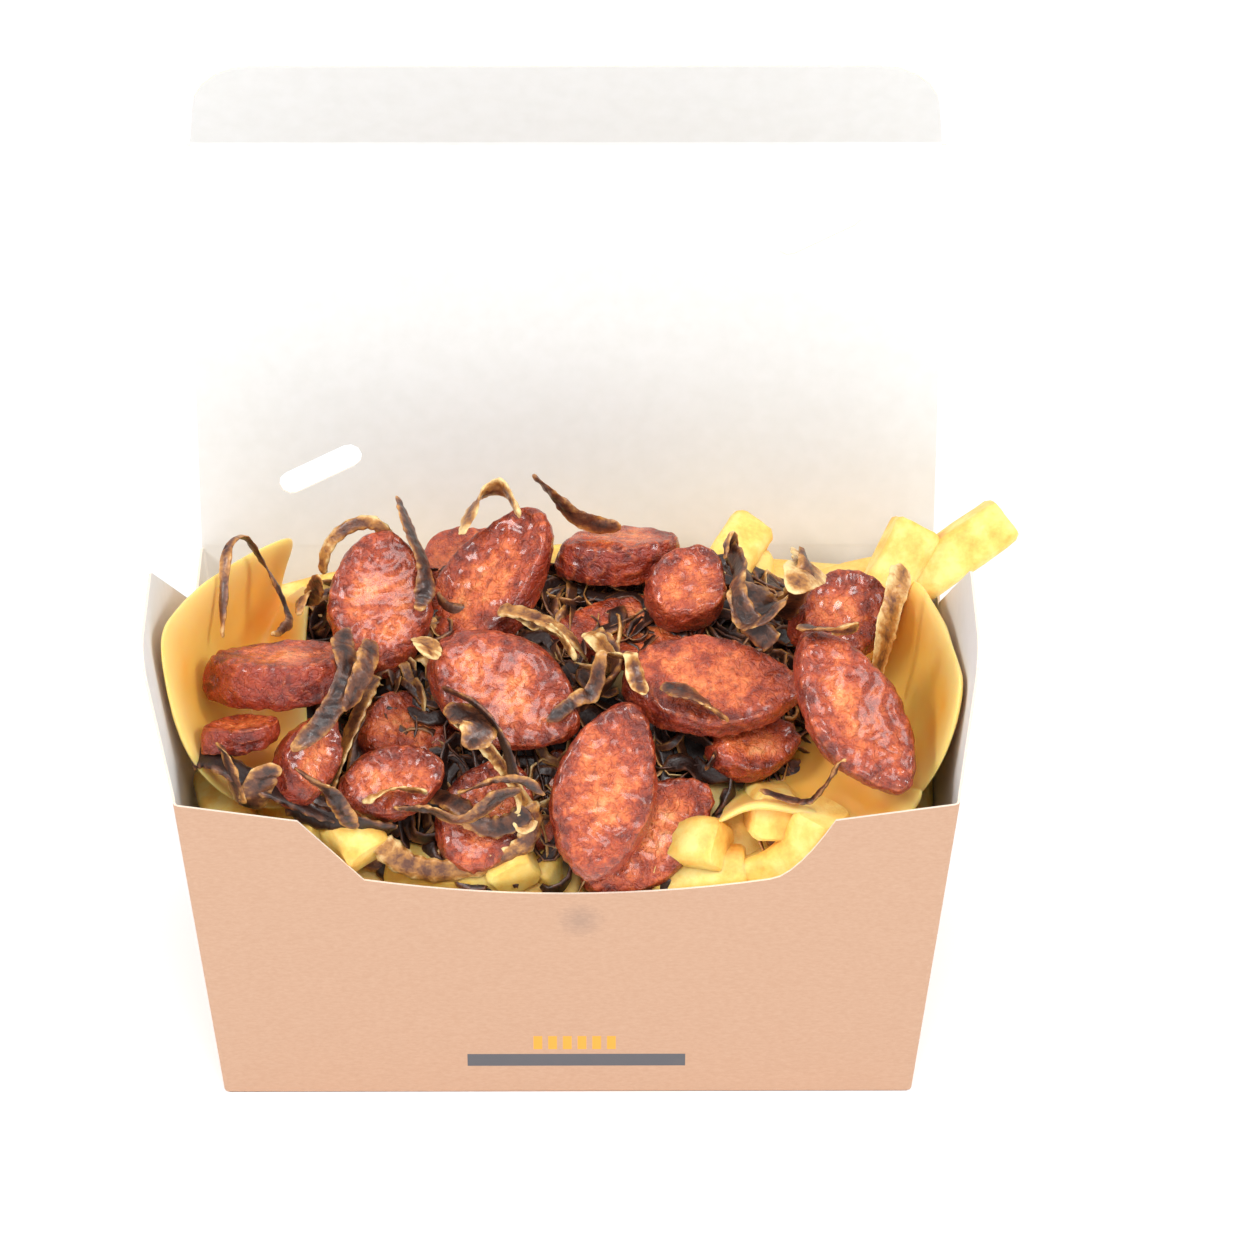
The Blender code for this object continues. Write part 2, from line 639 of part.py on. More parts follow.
# Onion slivers: route of x, y and lift, width, roll and twist
ONION = (
    ("onion_01", ((-80, -46, 1), (-76, -47, 2), (-71, -48, 1), (-65, -48.5, 0)), 8, 30, 60),
    ("onion_02", ((-62, -49, 0), (-55, -48.5, 0), (-48, -47.5, 0)), 6, 20, 60),
    ("onion_03", ((-27, -31, 1), (-19, -36, 2), (-12, -41, 1), (-9, -44.5, 0), (-12, -47, 0)), 8, 10, 40),
    ("onion_04", ((-40, -46.5, 0), (-30, -47, 0), (-20, -47.5, 0), (-10, -47, 0)), 7, 40, 30),
    ("onion_05", ((-51, -14, 1), (-52, -22, 1), (-50, -30, 1), (-56, -38, 0), (-63, -45, 0)), 6, 0, 50),
    ("onion_06", ((-45, -20, 0), (-46, -31, 1), (-51, -40, 0)), 6, 20, 60),
    ("onion_07", ((-80, -14, 0), (-79, 2, 5), (-72, 10, 7), (-65, 3, 5), (-69, -12, 0)), 3, 10, 40),
    ("onion_08", ((-63, 0, 0), (-61, 8, 5), (-57, 1, 0)), 5, 30, 60),
    ("onion_09", ((-55, 15, 1), (-50, 23, 5), (-43, 20, 2)), 4, 60, 40),
    ("onion_10", ((-40, 22, 6), (-37, 12, 1), (-33, 3, 0), (-35, -4, 0)), 6, 60, -30),
    ("onion_11", ((-25, 16, 1), (-21, 24, 4), (-15, 24, 4), (-11, 15, 1)), 8, 30, 60),
    ("onion_12", ((-8, 25, 5), (0, 20, 1), (13, 19, 0)), 6, 50, 40),
    ("onion_13", ((-12, -3, 1), (-5, -5, 2), (-2, -11, 1), (2, -18, 0)), 7, 0, 90),
    ("onion_14", ((4, -12, 0), (10, -16, 1), (15, -20, 0)), 9, 10, 40),
    ("onion_15", ((37, 4, 0), (39, 12, 5), (43, 6, 3), (46, -2, 0)), 5, 60, 40),
    ("onion_16", ((40, -2, 0), (45, -10, 1), (49, -16, 0)), 14, 20, -50),
    ("onion_17", ((54, 14, 2), (57, 3, 2), (52, -12, 0)), 11, 50, -30),
    ("onion_18", ((80, 14, 3), (77, 4, 1), (72, -12, 0)), 8, 40, 30),
    ("onion_19", ((44, -42, 0), (51, -45, 0), (58, -46.5, 0), (64, -47, 0)), 3, 0, 20),
    ("onion_20", ((-33, -13, 0), (-32, -22, 1)), 8, 10, 30),
    ("onion_21", ((22, -27, 0), (30, -31, 1), (37, -36, 0)), 9, 0, 60),
    ("onion_22", ((9, -21, 0), (4, -26, 1), (-5, -31, 0)), 4, 20, 30),
    ("onion_23", ((14, -21, 0), (18, -29, 1)), 5, 10, 10),
    ("onion_24", ((-28, -30, 0), (-20, -37, 1), (-23, -43, 0)), 9, -20, 80),
    ("onion_25", ((-47, -45, 0), (-40, -43, 1), (-32, -44, 0)), 5, 20, 40),
    ("onion_26", ((-25, -46.5, 0), (-15, -47.5, 1), (-5, -47.5, 0)), 5, 30, 40),
    ("onion_27", ((53, -24, 0), (61, -27, 1), (67, -24, 0)), 9, 20, 40),
)


def lay_food():
    """Cheese first, then sausage, then the fries fitted under both, then onion over all."""
    cheese = [sheet(name, grid, CHEESE_THICK, 6, MATERIALS["cheese"]) for name, grid in CHEESE.items()]
    rooms = [sheet(f"room_{name}", grid, CHEESE_THICK, 6, None, grow=0.6) for name, grid in CHEESE.items()]
    laid = Pile(cheese)
    for seed, (name, place, size, facing, heading, slant, taper) in enumerate(SAUSAGE, start=11):
        piece = sausage(name, place, size, facing, heading, slant, taper, seed)
        laid.settle(piece, INWARD)
        rooms.append(slice_room(piece, size, slant, taper, seed))
    laid.add(pile_of_fries(rooms))
    for seed, (name, route, width, roll, twist) in enumerate(ONION, start=61):
        laid.settle(onion(name, laid, route, width, roll, twist, seed), (0, 0, 1))


for old in list(bpy.data.objects):
    bpy.data.objects.remove(old)

MATERIALS = {
    "board": material("coated_carton_board", (0.80, 0.55, 0.42), 0.55),
    "fry": material("fried_potato", (0.90, 0.62, 0.16), 0.55),
    "cheese": material("sliced_cheese", (0.95, 0.52, 0.08), 0.40),
    "sausage": material("fried_sausage", (0.50, 0.10, 0.04), 0.38),
    "onion": material("fried_onion", (0.16, 0.07, 0.03), 0.45),
}

tray()
lid_and_tuck()
dust_flaps()
lay_food()
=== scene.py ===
"""Fries in an open folding carton, dressed for rendering.

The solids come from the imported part. This script gives each of them its finish, lays real fries
and fried onion over the heap's own core, and sets the camera, the floor and the light.
Metres throughout, +Z up, and the open front faces -Y.
"""
from __future__ import annotations

import logging
import math
import random
from dataclasses import dataclass
from enum import Enum
from typing import Any, Iterable, Sequence

import bmesh
import bpy
import numpy as np
from mathutils import Matrix, Vector, noise
from mathutils.bvhtree import BVHTree


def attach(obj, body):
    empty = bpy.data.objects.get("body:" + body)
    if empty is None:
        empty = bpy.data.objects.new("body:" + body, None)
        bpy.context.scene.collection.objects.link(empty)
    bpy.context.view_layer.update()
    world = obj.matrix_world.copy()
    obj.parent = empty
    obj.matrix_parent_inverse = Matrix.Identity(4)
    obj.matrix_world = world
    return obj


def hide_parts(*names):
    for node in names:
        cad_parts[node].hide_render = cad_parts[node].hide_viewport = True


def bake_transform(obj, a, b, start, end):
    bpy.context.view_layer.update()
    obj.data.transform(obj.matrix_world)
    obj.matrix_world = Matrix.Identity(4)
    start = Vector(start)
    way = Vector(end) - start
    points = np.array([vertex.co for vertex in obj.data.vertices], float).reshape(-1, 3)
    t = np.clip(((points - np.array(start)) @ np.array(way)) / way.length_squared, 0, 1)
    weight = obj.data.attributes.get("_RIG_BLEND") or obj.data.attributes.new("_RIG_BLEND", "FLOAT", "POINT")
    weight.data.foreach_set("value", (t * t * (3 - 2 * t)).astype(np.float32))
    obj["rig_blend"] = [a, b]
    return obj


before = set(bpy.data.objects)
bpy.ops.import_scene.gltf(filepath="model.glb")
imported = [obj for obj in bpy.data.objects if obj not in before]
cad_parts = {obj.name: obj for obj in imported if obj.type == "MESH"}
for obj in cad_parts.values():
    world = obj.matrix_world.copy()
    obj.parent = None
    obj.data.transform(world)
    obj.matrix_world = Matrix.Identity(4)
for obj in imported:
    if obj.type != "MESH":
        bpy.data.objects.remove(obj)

LOG = logging.getLogger("fries_carton")
MM = 0.001
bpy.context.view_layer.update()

Tree = bpy.types.NodeTree
Socket = bpy.types.NodeSocket
Place = tuple[float, float, float]
Bend = tuple[Place, Place, Place]


class BoardSide(Enum):
    """Which face of the folded board a polygon belongs to; the value is its material slot."""

    OUTSIDE = 0
    INSIDE = 1
    CUT_EDGE = 2


class StrandShape(Enum):
    """Section of a strand laid along a path: width and height of one unit, corner and points."""

    FRY = (1.0, 1.0, 0.15, 28)
    SLIVER = (1.0, 0.2, 0.09, 12)


# Small helpers


def linear(code: str) -> tuple[float, float, float, float]:
    """Turns an sRGB hex colour into linear RGBA.

    Args:
        code: Colour as "#RRGGBB".

    Returns:
        The four linear channels, alpha 1.
    """
    parts = [int(code[k:k + 2], 16) / 255 for k in (1, 3, 5)]
    red, green, blue = (c / 12.92 if c <= 0.04045 else ((c + 0.055) / 1.055) ** 2.4 for c in parts)
    return (red, green, blue, 1.0)


def add_node(tree: Tree, kind: str, settings: dict[str, Any] | None = None,
             inputs: dict[str | int, Any] | None = None) -> bpy.types.Node:
    """Adds a node with its settings and links.

    Args:
        tree: Tree that the node joins.
        kind: Node type, such as "ShaderNodeTexNoise".
        settings: Node properties; "stops" fills a colour ramp with places and sRGB hex colours.
        inputs: Socket name or number to a value, or to the socket that feeds it.

    Returns:
        The new node.
    """
    node = tree.nodes.new(kind)
    for key, value in (settings or {}).items():
        if key == "stops":
            ramp = node.color_ramp
            while len(ramp.elements) < len(value):
                ramp.elements.new(1.0)
            for element, (place, color) in zip(ramp.elements, value):
                element.position = place
                element.color = linear(color)
        else:
            setattr(node, key, value)
    for key, value in (inputs or {}).items():
        if isinstance(value, Socket):
            tree.links.new(value, node.inputs[key])
        else:
            node.inputs[key].default_value = value
    return node


def smoothstep(low: float, high: float, value: float) -> float:
    """Smooth 0 to 1 as value goes from low to high."""
    t = min(max((value - low) / (high - low), 0.0), 1.0)
    return t * t * (3 - 2 * t)


def points_of(mesh: bpy.types.Mesh) -> np.ndarray:
    """Vertex places of a mesh, one row each."""
    flat = np.zeros(len(mesh.vertices) * 3, np.float32)
    mesh.vertices.foreach_get("co", flat)
    return flat.reshape(-1, 3).astype(float)


def normals_of(mesh: bpy.types.Mesh) -> np.ndarray:
    """Vertex normals of a mesh, one row each."""
    flat = np.zeros(len(mesh.vertices) * 3, np.float32)
    mesh.vertex_normals.foreach_get("vector", flat)
    return flat.reshape(-1, 3).astype(float)


def set_points(mesh: bpy.types.Mesh, points: np.ndarray) -> None:
    """Writes vertex places back to a mesh."""
    mesh.vertices.foreach_set("co", points.astype(np.float32).ravel())
    mesh.update()


def paint(mesh: bpy.types.Mesh, name: str, values: np.ndarray) -> None:
    """Stores one number for each vertex under a name that materials read."""
    layer = mesh.attributes.get(name) or mesh.attributes.new(name, "FLOAT", "POINT")
    layer.data.foreach_set("value", values.astype(np.float32))


def bulge(mesh: bpy.types.Mesh) -> np.ndarray:
    """How convex the surface is at each vertex, above 0 on crests and below 0 in grooves."""
    points, normals = points_of(mesh), normals_of(mesh)
    pairs = np.zeros(len(mesh.edges) * 2, np.int32)
    mesh.edges.foreach_get("vertices", pairs)
    a, b = pairs.reshape(-1, 2).T
    step = points[b] - points[a]
    step /= np.maximum(np.linalg.norm(step, axis=1), 1e-9)[:, None]
    total, count = np.zeros(len(points)), np.zeros(len(points))
    np.add.at(total, a, -(step * normals[a]).sum(1))
    np.add.at(total, b, (step * normals[b]).sum(1))
    np.add.at(count, a, 1)
    np.add.at(count, b, 1)
    return total / np.maximum(count, 1)


def noise_at(points: np.ndarray, size: float, seed: float = 0.0) -> np.ndarray:
    """Smooth noise from -1 to 1 at each point.

    Args:
        points: Places in metres.
        size: Width of one lump in metres.
        seed: Shift that gives another pattern.

    Returns:
        One value for each point.
    """
    shift = Vector((seed, seed * 1.7, seed * 0.6))
    return np.array([noise.noise(Vector(p) / size + shift) for p in points])


def merged_copy(node: str, quads: bool = True) -> bpy.types.Mesh:
    """A solid's mesh with its loose triangles welded.

    Args:
        node: Name of the solid.
        quads: Whether pairs of triangles are joined where they lie flat enough.

    Returns:
        A new mesh; the solid's own is left alone.
    """
    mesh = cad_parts[node].data.copy()
    mesh.materials.clear()
    bm = bmesh.new()
    bm.from_mesh(mesh)
    bmesh.ops.remove_doubles(bm, verts=bm.verts[:], dist=0.01 * MM)
    if quads:
        bmesh.ops.join_triangles(bm, faces=bm.faces[:], angle_face_threshold=math.radians(40),
                                 angle_shape_threshold=math.radians(60))
    for edge in bm.edges:
        edge.smooth = True
    for face in bm.faces:
        face.smooth = True
    bm.to_mesh(mesh)
    bm.free()
    for layer in [a.name for a in mesh.attributes if a.name in ("sharp_face", "custom_normal")]:
        mesh.attributes.remove(mesh.attributes[layer])
    return mesh


def link(name: str, data: bpy.types.ID) -> bpy.types.Object:
    """Puts an object with this mesh, light or camera in the scene."""
    item = bpy.data.objects.new(name, data)
    bpy.context.scene.collection.objects.link(item)
    return item


def finished(carrier: bpy.types.Object) -> bpy.types.Mesh:
    """Turns an object with a modifier into a plain mesh and removes the object.

    Args:
        carrier: The object; its own mesh is removed too.

    Returns:
        The mesh that the modifier gives, with its painted values.
    """
    bpy.context.view_layer.update()
    source = carrier.data
    result = bpy.data.meshes.new_from_object(carrier.evaluated_get(bpy.context.evaluated_depsgraph_get()))
    bpy.data.objects.remove(carrier)
    bpy.data.meshes.remove(source)
    return result


def subdivided(mesh: bpy.types.Mesh, levels: int = 3) -> bpy.types.Mesh:
    """Rounds a mesh by subdivision.

    Args:
        mesh: Mesh to refine; it is removed.
        levels: Steps of subdivision.

    Returns:
        The refined mesh with its painted values carried over.
    """
    carrier = link("carrier", mesh)
    step = carrier.modifiers.new("round", "SUBSURF")
    step.levels = step.render_levels = levels
    return finished(carrier)


def displaced(mesh: bpy.types.Mesh, *layers: tuple[float, float, float]) -> None:
    """Moves a mesh along its normals by smooth noise.

    Args:
        mesh: Mesh to move.
        layers: Height and width of the lumps in millimetres, and a seed, for each noise.
    """
    points, normals = points_of(mesh), normals_of(mesh)
    shift = sum(height * noise_at(points, width * MM, seed) for height, width, seed in layers)
    set_points(mesh, points + normals * shift[:, None] * MM)


def add_piece(name: str, mesh: bpy.types.Mesh, body: str,
              materials: Sequence[bpy.types.Material],
              stands_for: Iterable[str] = ()) -> bpy.types.Object:
    """Puts a finished mesh in the scene as a piece of the object.

    Args:
        name: Name of the piece.
        mesh: Its mesh, already in place.
        body: Moving body that it rides on.
        materials: Blender materials, in the order of the mesh's slots.
        stands_for: Solids that it replaces.

    Returns:
        The new object.
    """
    mesh.name = name
    for material in materials[len(mesh.materials):]:
        mesh.materials.append(material)
    piece = link(name, mesh)
    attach(piece, body)
    if stands_for:
        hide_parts(*stands_for)
    LOG.info("%s: %d faces", name, len(mesh.polygons))
    return piece


# Finishes


def weighted_sum(tree: Tree, start: Socket, *terms: tuple[Socket, float]) -> Socket:
    """Adds weighted values to a start value.

    Args:
        tree: Tree of the material.
        start: Value to start from.
        terms: Each value with its weight.

    Returns:
        The sum.
    """
    for value, weight in terms:
        start = add_node(tree, "ShaderNodeMath", {"operation": "MULTIPLY_ADD"},
                         {0: value, 1: weight, 2: start}).outputs[0]
    return start


def inked(tree: Tree, color: Socket, *layers: tuple[Socket, str]) -> Socket:
    """Lays inks over a colour, one after another.

    Args:
        tree: Tree of the material.
        color: Colour underneath.
        layers: Mask and sRGB hex colour of each ink.

    Returns:
        The colour with all the inks on it.
    """
    for mask, ink in layers:
        color = add_node(tree, "ShaderNodeMix", {"data_type": "RGBA"},
                         {0: mask, 6: color, 7: linear(ink)}).outputs[2]
    return color


def painted(tree: Tree, *names: str) -> list[Socket]:
    """The values that the mesh carries under these names."""
    return [add_node(tree, "ShaderNodeAttribute", {"attribute_name": name}).outputs["Fac"]
            for name in names]


def lumps(width: float) -> float:
    """Scale of a noise whose lumps are this many millimetres wide."""
    return 1 / (width * MM)


@dataclass(frozen=True)
class Finish:
    """A procedural material; each kind gives its own colour and relief.

    "relief" is the strength and the depth in metres of the bumps, "soak" the share of light that
    goes in, "reach" how far its red, green and blue get, and "coat" the share and the roughness
    of a film of oil.
    """

    title: str
    roughness: float = 0.5
    relief: tuple[float, float] = (0.0, 0.0)
    soak: float = 0.0
    reach: Place = (0.0, 0.0, 0.0)
    coat: tuple[float, float] = (0.0, 0.0)

    def pattern(self, tree: Tree, place: Socket) -> tuple[Socket, Socket | None]:
        """Colour and height of the relief at a place; the kinds of finish fill this in."""
        raise NotImplementedError

    def build(self) -> bpy.types.Material:
        """Makes the Blender material of this finish."""
        material = bpy.data.materials.new(self.title)
        material.use_nodes = True
        tree = material.node_tree
        inputs = tree.nodes["Principled BSDF"].inputs
        values = {"Roughness": self.roughness}
        if self.soak:
            values |= {"Subsurface Weight": self.soak, "Subsurface Radius": self.reach,
                       "Subsurface Scale": 1.0}
        if self.coat[0]:
            values |= {"Coat Weight": self.coat[0], "Coat Roughness": self.coat[1]}
        for name, value in values.items():
            inputs[name].default_value = value
        color, height = self.pattern(tree, add_node(tree, "ShaderNodeTexCoord").outputs["Object"])
        tree.links.new(color, inputs["Base Color"])
        if height is not None:
            bump = add_node(tree, "ShaderNodeBump", {},
                            {"Height": height, "Strength": self.relief[0], "Distance": self.relief[1]})
            tree.links.new(bump.outputs[0], inputs["Normal"])
        return material


@dataclass(frozen=True)
class KraftOutside(Finish):
    """Kraft-faced carton board, calendered: short pale fibres, no gloss.

    The front carries a plain print of a bar and a row of uprights, and a small grease mark. Their
    places are in millimetres; a rectangle is its left, right, low and high edge.
    """

    roughness: float = 0.72
    relief: tuple[float, float] = (0.12, 0.2 * MM)
    base: str = "#BC9478"
    fibre: str = "#C49E83"
    ink: str = "#5B5A5E"
    accent: str = "#E9A23A"
    front: float = -40.0
    bar: tuple[float, ...] = (-24.0, 28.0, 9.0, 13.0)
    uprights: tuple[float, ...] = (-9.0, 12.0, 14.6, 19.0)
    pitch: float = 3.5
    upright: tuple[float, float] = (0.8, 2.9)
    spot: Place = (3.0, -50.0, 57.0)
    spot_edge: tuple[float, float] = (4.0, 9.0)
    spot_strength: float = 0.28

    def within(self, tree: Tree, axis: Socket, limits: Sequence[float]) -> Socket:
        """1 where a coordinate lies between two limits in millimetres, else 0."""
        low, high = (limit * MM for limit in limits)
        steps = (("SUBTRACT", (low + high) / 2), ("ABSOLUTE", 0.0), ("LESS_THAN", (high - low) / 2))
        for operation, value in steps:
            axis = add_node(tree, "ShaderNodeMath", {"operation": operation},
                            {0: axis, 1: value}).outputs[0]
        return axis

    def all_of(self, tree: Tree, *masks: Socket) -> Socket:
        """The product of several masks."""
        result = masks[0]
        for mask in masks[1:]:
            result = add_node(tree, "ShaderNodeMath", {"operation": "MULTIPLY"},
                              {0: result, 1: mask}).outputs[0]
        return result

    def pattern(self, tree: Tree, place: Socket) -> tuple[Socket, Socket | None]:
        """Fibre colour, print and a faint relief."""
        # Fibres are 1.5 mm long, and drawn 0.6 mm wide where real ones have 0.03 mm, to show at all
        stretched = add_node(tree, "ShaderNodeMapping", {}, {"Vector": place, "Scale": (1.0, 1.0, 2.6)})
        fibres = add_node(tree, "ShaderNodeTexNoise", {},
                          {"Vector": stretched.outputs[0], "Scale": lumps(1.54), "Detail": 5.0,
                           "Roughness": 0.7}).outputs[0]
        color = add_node(tree, "ShaderNodeValToRGB", {"stops": [(0.35, self.base), (0.7, self.fibre)]},
                         {"Fac": fibres}).outputs[0]
        x, y, z = add_node(tree, "ShaderNodeSeparateXYZ", {}, {0: place}).outputs
        front = add_node(tree, "ShaderNodeMath", {"operation": "LESS_THAN"},
                         {0: y, 1: self.front * MM}).outputs[0]
        bar = self.all_of(tree, front, self.within(tree, x, self.bar[:2]),
                          self.within(tree, z, self.bar[2:]))
        # The remainder of x by the pitch repeats the upright; 100 mm keeps x above 0
        comb = x
        for operation, value in (("ADD", 100 * MM), ("MODULO", self.pitch * MM)):
            comb = add_node(tree, "ShaderNodeMath", {"operation": operation},
                            {0: comb, 1: value}).outputs[0]
        uprights = self.all_of(tree, front, self.within(tree, comb, self.upright),
                               self.within(tree, x, self.uprights[:2]),
                               self.within(tree, z, self.uprights[2:]))
        away = add_node(tree, "ShaderNodeVectorMath", {"operation": "DISTANCE"},
                        {0: place, 1: Vector(self.spot) * MM}).outputs["Value"]
        grease = add_node(tree, "ShaderNodeMapRange", {},
                          {0: weighted_sum(tree, away, (fibres, 6 * MM)), 1: self.spot_edge[0] * MM,
                           2: self.spot_edge[1] * MM, 3: self.spot_strength, 4: 0.0}).outputs[0]
        return inked(tree, color, (grease, self.ink), (bar, self.ink), (uprights, self.accent)), fibres


@dataclass(frozen=True)
class WhiteInside(Finish):
    """Clay-coated inner face of the carton board: smooth white with a soft sheen."""

    relief: tuple[float, float] = (0.03, 0.1 * MM)
    base: str = "#DCDCDA"
    cloud: str = "#D8D8D5"

    def pattern(self, tree: Tree, place: Socket) -> tuple[Socket, Socket | None]:
        """White with very slight clouds, 4 mm wide, and relief."""
        clouds = add_node(tree, "ShaderNodeTexNoise", {},
                          {"Vector": place, "Scale": lumps(4), "Detail": 4.0}).outputs[0]
        color = add_node(tree, "ShaderNodeValToRGB", {"stops": [(0.3, self.cloud), (0.7, self.base)]},
                         {"Fac": clouds}).outputs[0]
        return color, clouds


@dataclass(frozen=True)
class CutEdge(Finish):
    """Die-cut edge of the board: pale bare fibre in thin layers."""

    roughness: float = 0.8
    base: str = "#F0E2D2"
    layer: str = "#DDC8B2"

    def pattern(self, tree: Tree, place: Socket) -> tuple[Socket, Socket | None]:
        """Layers a quarter of a millimetre thick across the edge, without relief."""
        layers = add_node(tree, "ShaderNodeTexNoise", {},
                          {"Vector": place, "Scale": lumps(0.25), "Detail": 2.0}).outputs[0]
        color = add_node(tree, "ShaderNodeValToRGB", {"stops": [(0.3, self.layer), (0.65, self.base)]},
                         {"Fac": layers}).outputs[0]
        return color, None


@dataclass(frozen=True)
class FriedPotato(Finish):
    """Potato fried pale: dry golden skin with darker corners and a little oil.

    A painted value darkens the heap where dark fried onion lies, and gives painted shade to the gaps between
    the toppings.
    """

    relief: tuple[float, float] = (0.35, 0.4 * MM)
    soak: float = 0.3
    reach: Place = (6 * MM, 2.6 * MM, 0.7 * MM)
    pale: str = "#FFDF86"
    golden: str = "#FBC964"
    corner: str = "#E9A244"
    # Dark onion, and painted shade in the gaps between the toppings
    stain: str = "#20110B"
    browning: float = 0.4

    def pattern(self, tree: Tree, place: Socket) -> tuple[Socket, Socket | None]:
        """Blotches, golden corners, dark onion with painted shade in the gaps, and a blistered relief."""
        # Blotches are about 6 mm wide, blisters about 1 mm
        blotches = add_node(tree, "ShaderNodeTexNoise", {},
                            {"Vector": place, "Scale": lumps(5.88), "Detail": 5.0}).outputs[0]
        blisters = add_node(tree, "ShaderNodeTexNoise", {},
                            {"Vector": place, "Scale": lumps(1), "Detail": 4.0,
                             "Roughness": 0.65}).outputs[0]
        color = add_node(tree, "ShaderNodeValToRGB",
                         {"stops": [(0.52, self.pale), (0.72, self.golden), (0.95, self.corner)]},
                         {"Fac": weighted_sum(tree, blotches, (blisters, 0.3))}).outputs[0]
        # Dark onion and painted shade in the gaps between the toppings are laid over the fry colour
        edge, stain = painted(tree, "edge", "stain")
        browned = add_node(tree, "ShaderNodeMath", {"operation": "MULTIPLY"},
                           {0: edge, 1: self.browning}).outputs[0]
        return inked(tree, color, (browned, self.corner), (stain, self.stain)), blisters


@dataclass(frozen=True)
class SlicedCheese(Finish):
    """Processed cheese, cast and sliced: smooth, waxy, lets light in; it is painted paler along its edges."""

    roughness: float = 0.38
    relief: tuple[float, float] = (0.1, 0.3 * MM)
    soak: float = 0.6
    reach: Place = (6 * MM, 3 * MM, 0.8 * MM)
    base: str = "#FFBF5B"
    deep: str = "#FFA941"
    cut: str = "#FFCD7A"

    def pattern(self, tree: Tree, place: Socket) -> tuple[Socket, Socket | None]:
        """Soft clouds, pale rim and a waxy surface."""
        # Clouds are about 20 mm wide, the grain of the wax about 1.5 mm
        clouds = add_node(tree, "ShaderNodeTexNoise", {},
                          {"Vector": place, "Scale": lumps(20), "Detail": 3.0}).outputs[0]
        grain = add_node(tree, "ShaderNodeTexNoise", {},
                         {"Vector": place, "Scale": lumps(1.54), "Detail": 3.0}).outputs[0]
        color = add_node(tree, "ShaderNodeValToRGB", {"stops": [(0.35, self.base), (0.7, self.deep)]},
                         {"Fac": clouds}).outputs[0]
        return inked(tree, color, (*painted(tree, "edge"), self.cut)), grain


@dataclass(frozen=True)
class FriedSausage(Finish):
    """Minced sausage, sliced and fried: mottled orange cut faces, dark wrinkled rim, greasy skin."""

    roughness: float = 0.4
    relief: tuple[float, float] = (0.7, 0.7 * MM)
    soak: float = 0.15
    reach: Place = (3 * MM, 0.9 * MM, 0.4 * MM)
    coat: tuple[float, float] = (0.5, 0.13)
    dark: str = "#6E2210"
    meat: str = "#AE421C"
    bright: str = "#E4743A"
    fat: str = "#F6A868"
    groove: str = "#64190C"
    skin: str = "#98321A"

    def pattern(self, tree: Tree, place: Socket) -> tuple[Socket, Socket | None]:
        """Mottled meat, a paler middle, dark wrinkles and rim, painted shade in the grooves and painted
        highlights on the crests, glossy skin and relief.
        """
        rim, side, crest = painted(tree, "rim", "skin", "crest")
        # Mottling is about 7 mm wide, mince about 1.4 mm, and wrinkles are about 2 mm apart
        mottle, mince, line = (
            add_node(tree, "ShaderNodeTexNoise", {},
                     {"Vector": place, "Scale": lumps(width), "Detail": detail, "Roughness": rough,
                      "Distortion": distortion}).outputs[0]
            for width, detail, rough, distortion in ((6.67, 7.0, 0.72, 0.0), (1.39, 4.0, 0.7, 0.0),
                                                     (2.08, 2.0, 0.5, 0.6)))
        for operation, value in (("SUBTRACT", 0.5), ("ABSOLUTE", 0.0)):
            line = add_node(tree, "ShaderNodeMath", {"operation": operation},
                            {0: line, 1: value}).outputs[0]
        color = add_node(tree, "ShaderNodeValToRGB",
                         {"stops": [(0.38, self.dark), (0.54, self.meat),
                                    (0.69, self.bright), (0.84, self.fat)]},
                         {"Fac": weighted_sum(tree, mottle, (mince, 0.32), (rim, -0.3))}).outputs[0]
        hide = add_node(tree, "ShaderNodeValToRGB",
                        {"stops": [(0.36, self.groove), (0.5, self.skin), (0.7, self.meat)]},
                        {"Fac": mottle}).outputs[0]
        color = add_node(tree, "ShaderNodeMix", {"data_type": "RGBA"},
                         {0: side, 6: color, 7: hide}).outputs[2]
        # Darker along the wrinkle lines; painted shade in the grooves and painted highlights on the crests,
        # from the painted convexity
        for value, low, high, strength, ink in ((line, 0.04, 0.0, 0.3, self.groove),
                                                (crest, 0.46, 0.2, 0.85, self.groove),
                                                (crest, 0.56, 0.95, 0.6, self.bright)):
            mask = add_node(tree, "ShaderNodeMapRange", {},
                            {0: value, 1: low, 2: high, 3: 0.0, 4: strength}).outputs[0]
            color = inked(tree, color, (mask, ink))
        rough = add_node(tree, "ShaderNodeMapRange", {}, {0: mince, 1: 0.35, 2: 0.65, 3: 0.2, 4: 0.55})
        tree.links.new(rough.outputs[0], tree.nodes["Principled BSDF"].inputs["Roughness"])
        folds = add_node(tree, "ShaderNodeMapRange", {},
                         {0: line, 1: 0.0, 2: 0.1, 3: 0.0, 4: 0.5}).outputs[0]
        return color, weighted_sum(tree, mince, (folds, 1.0))


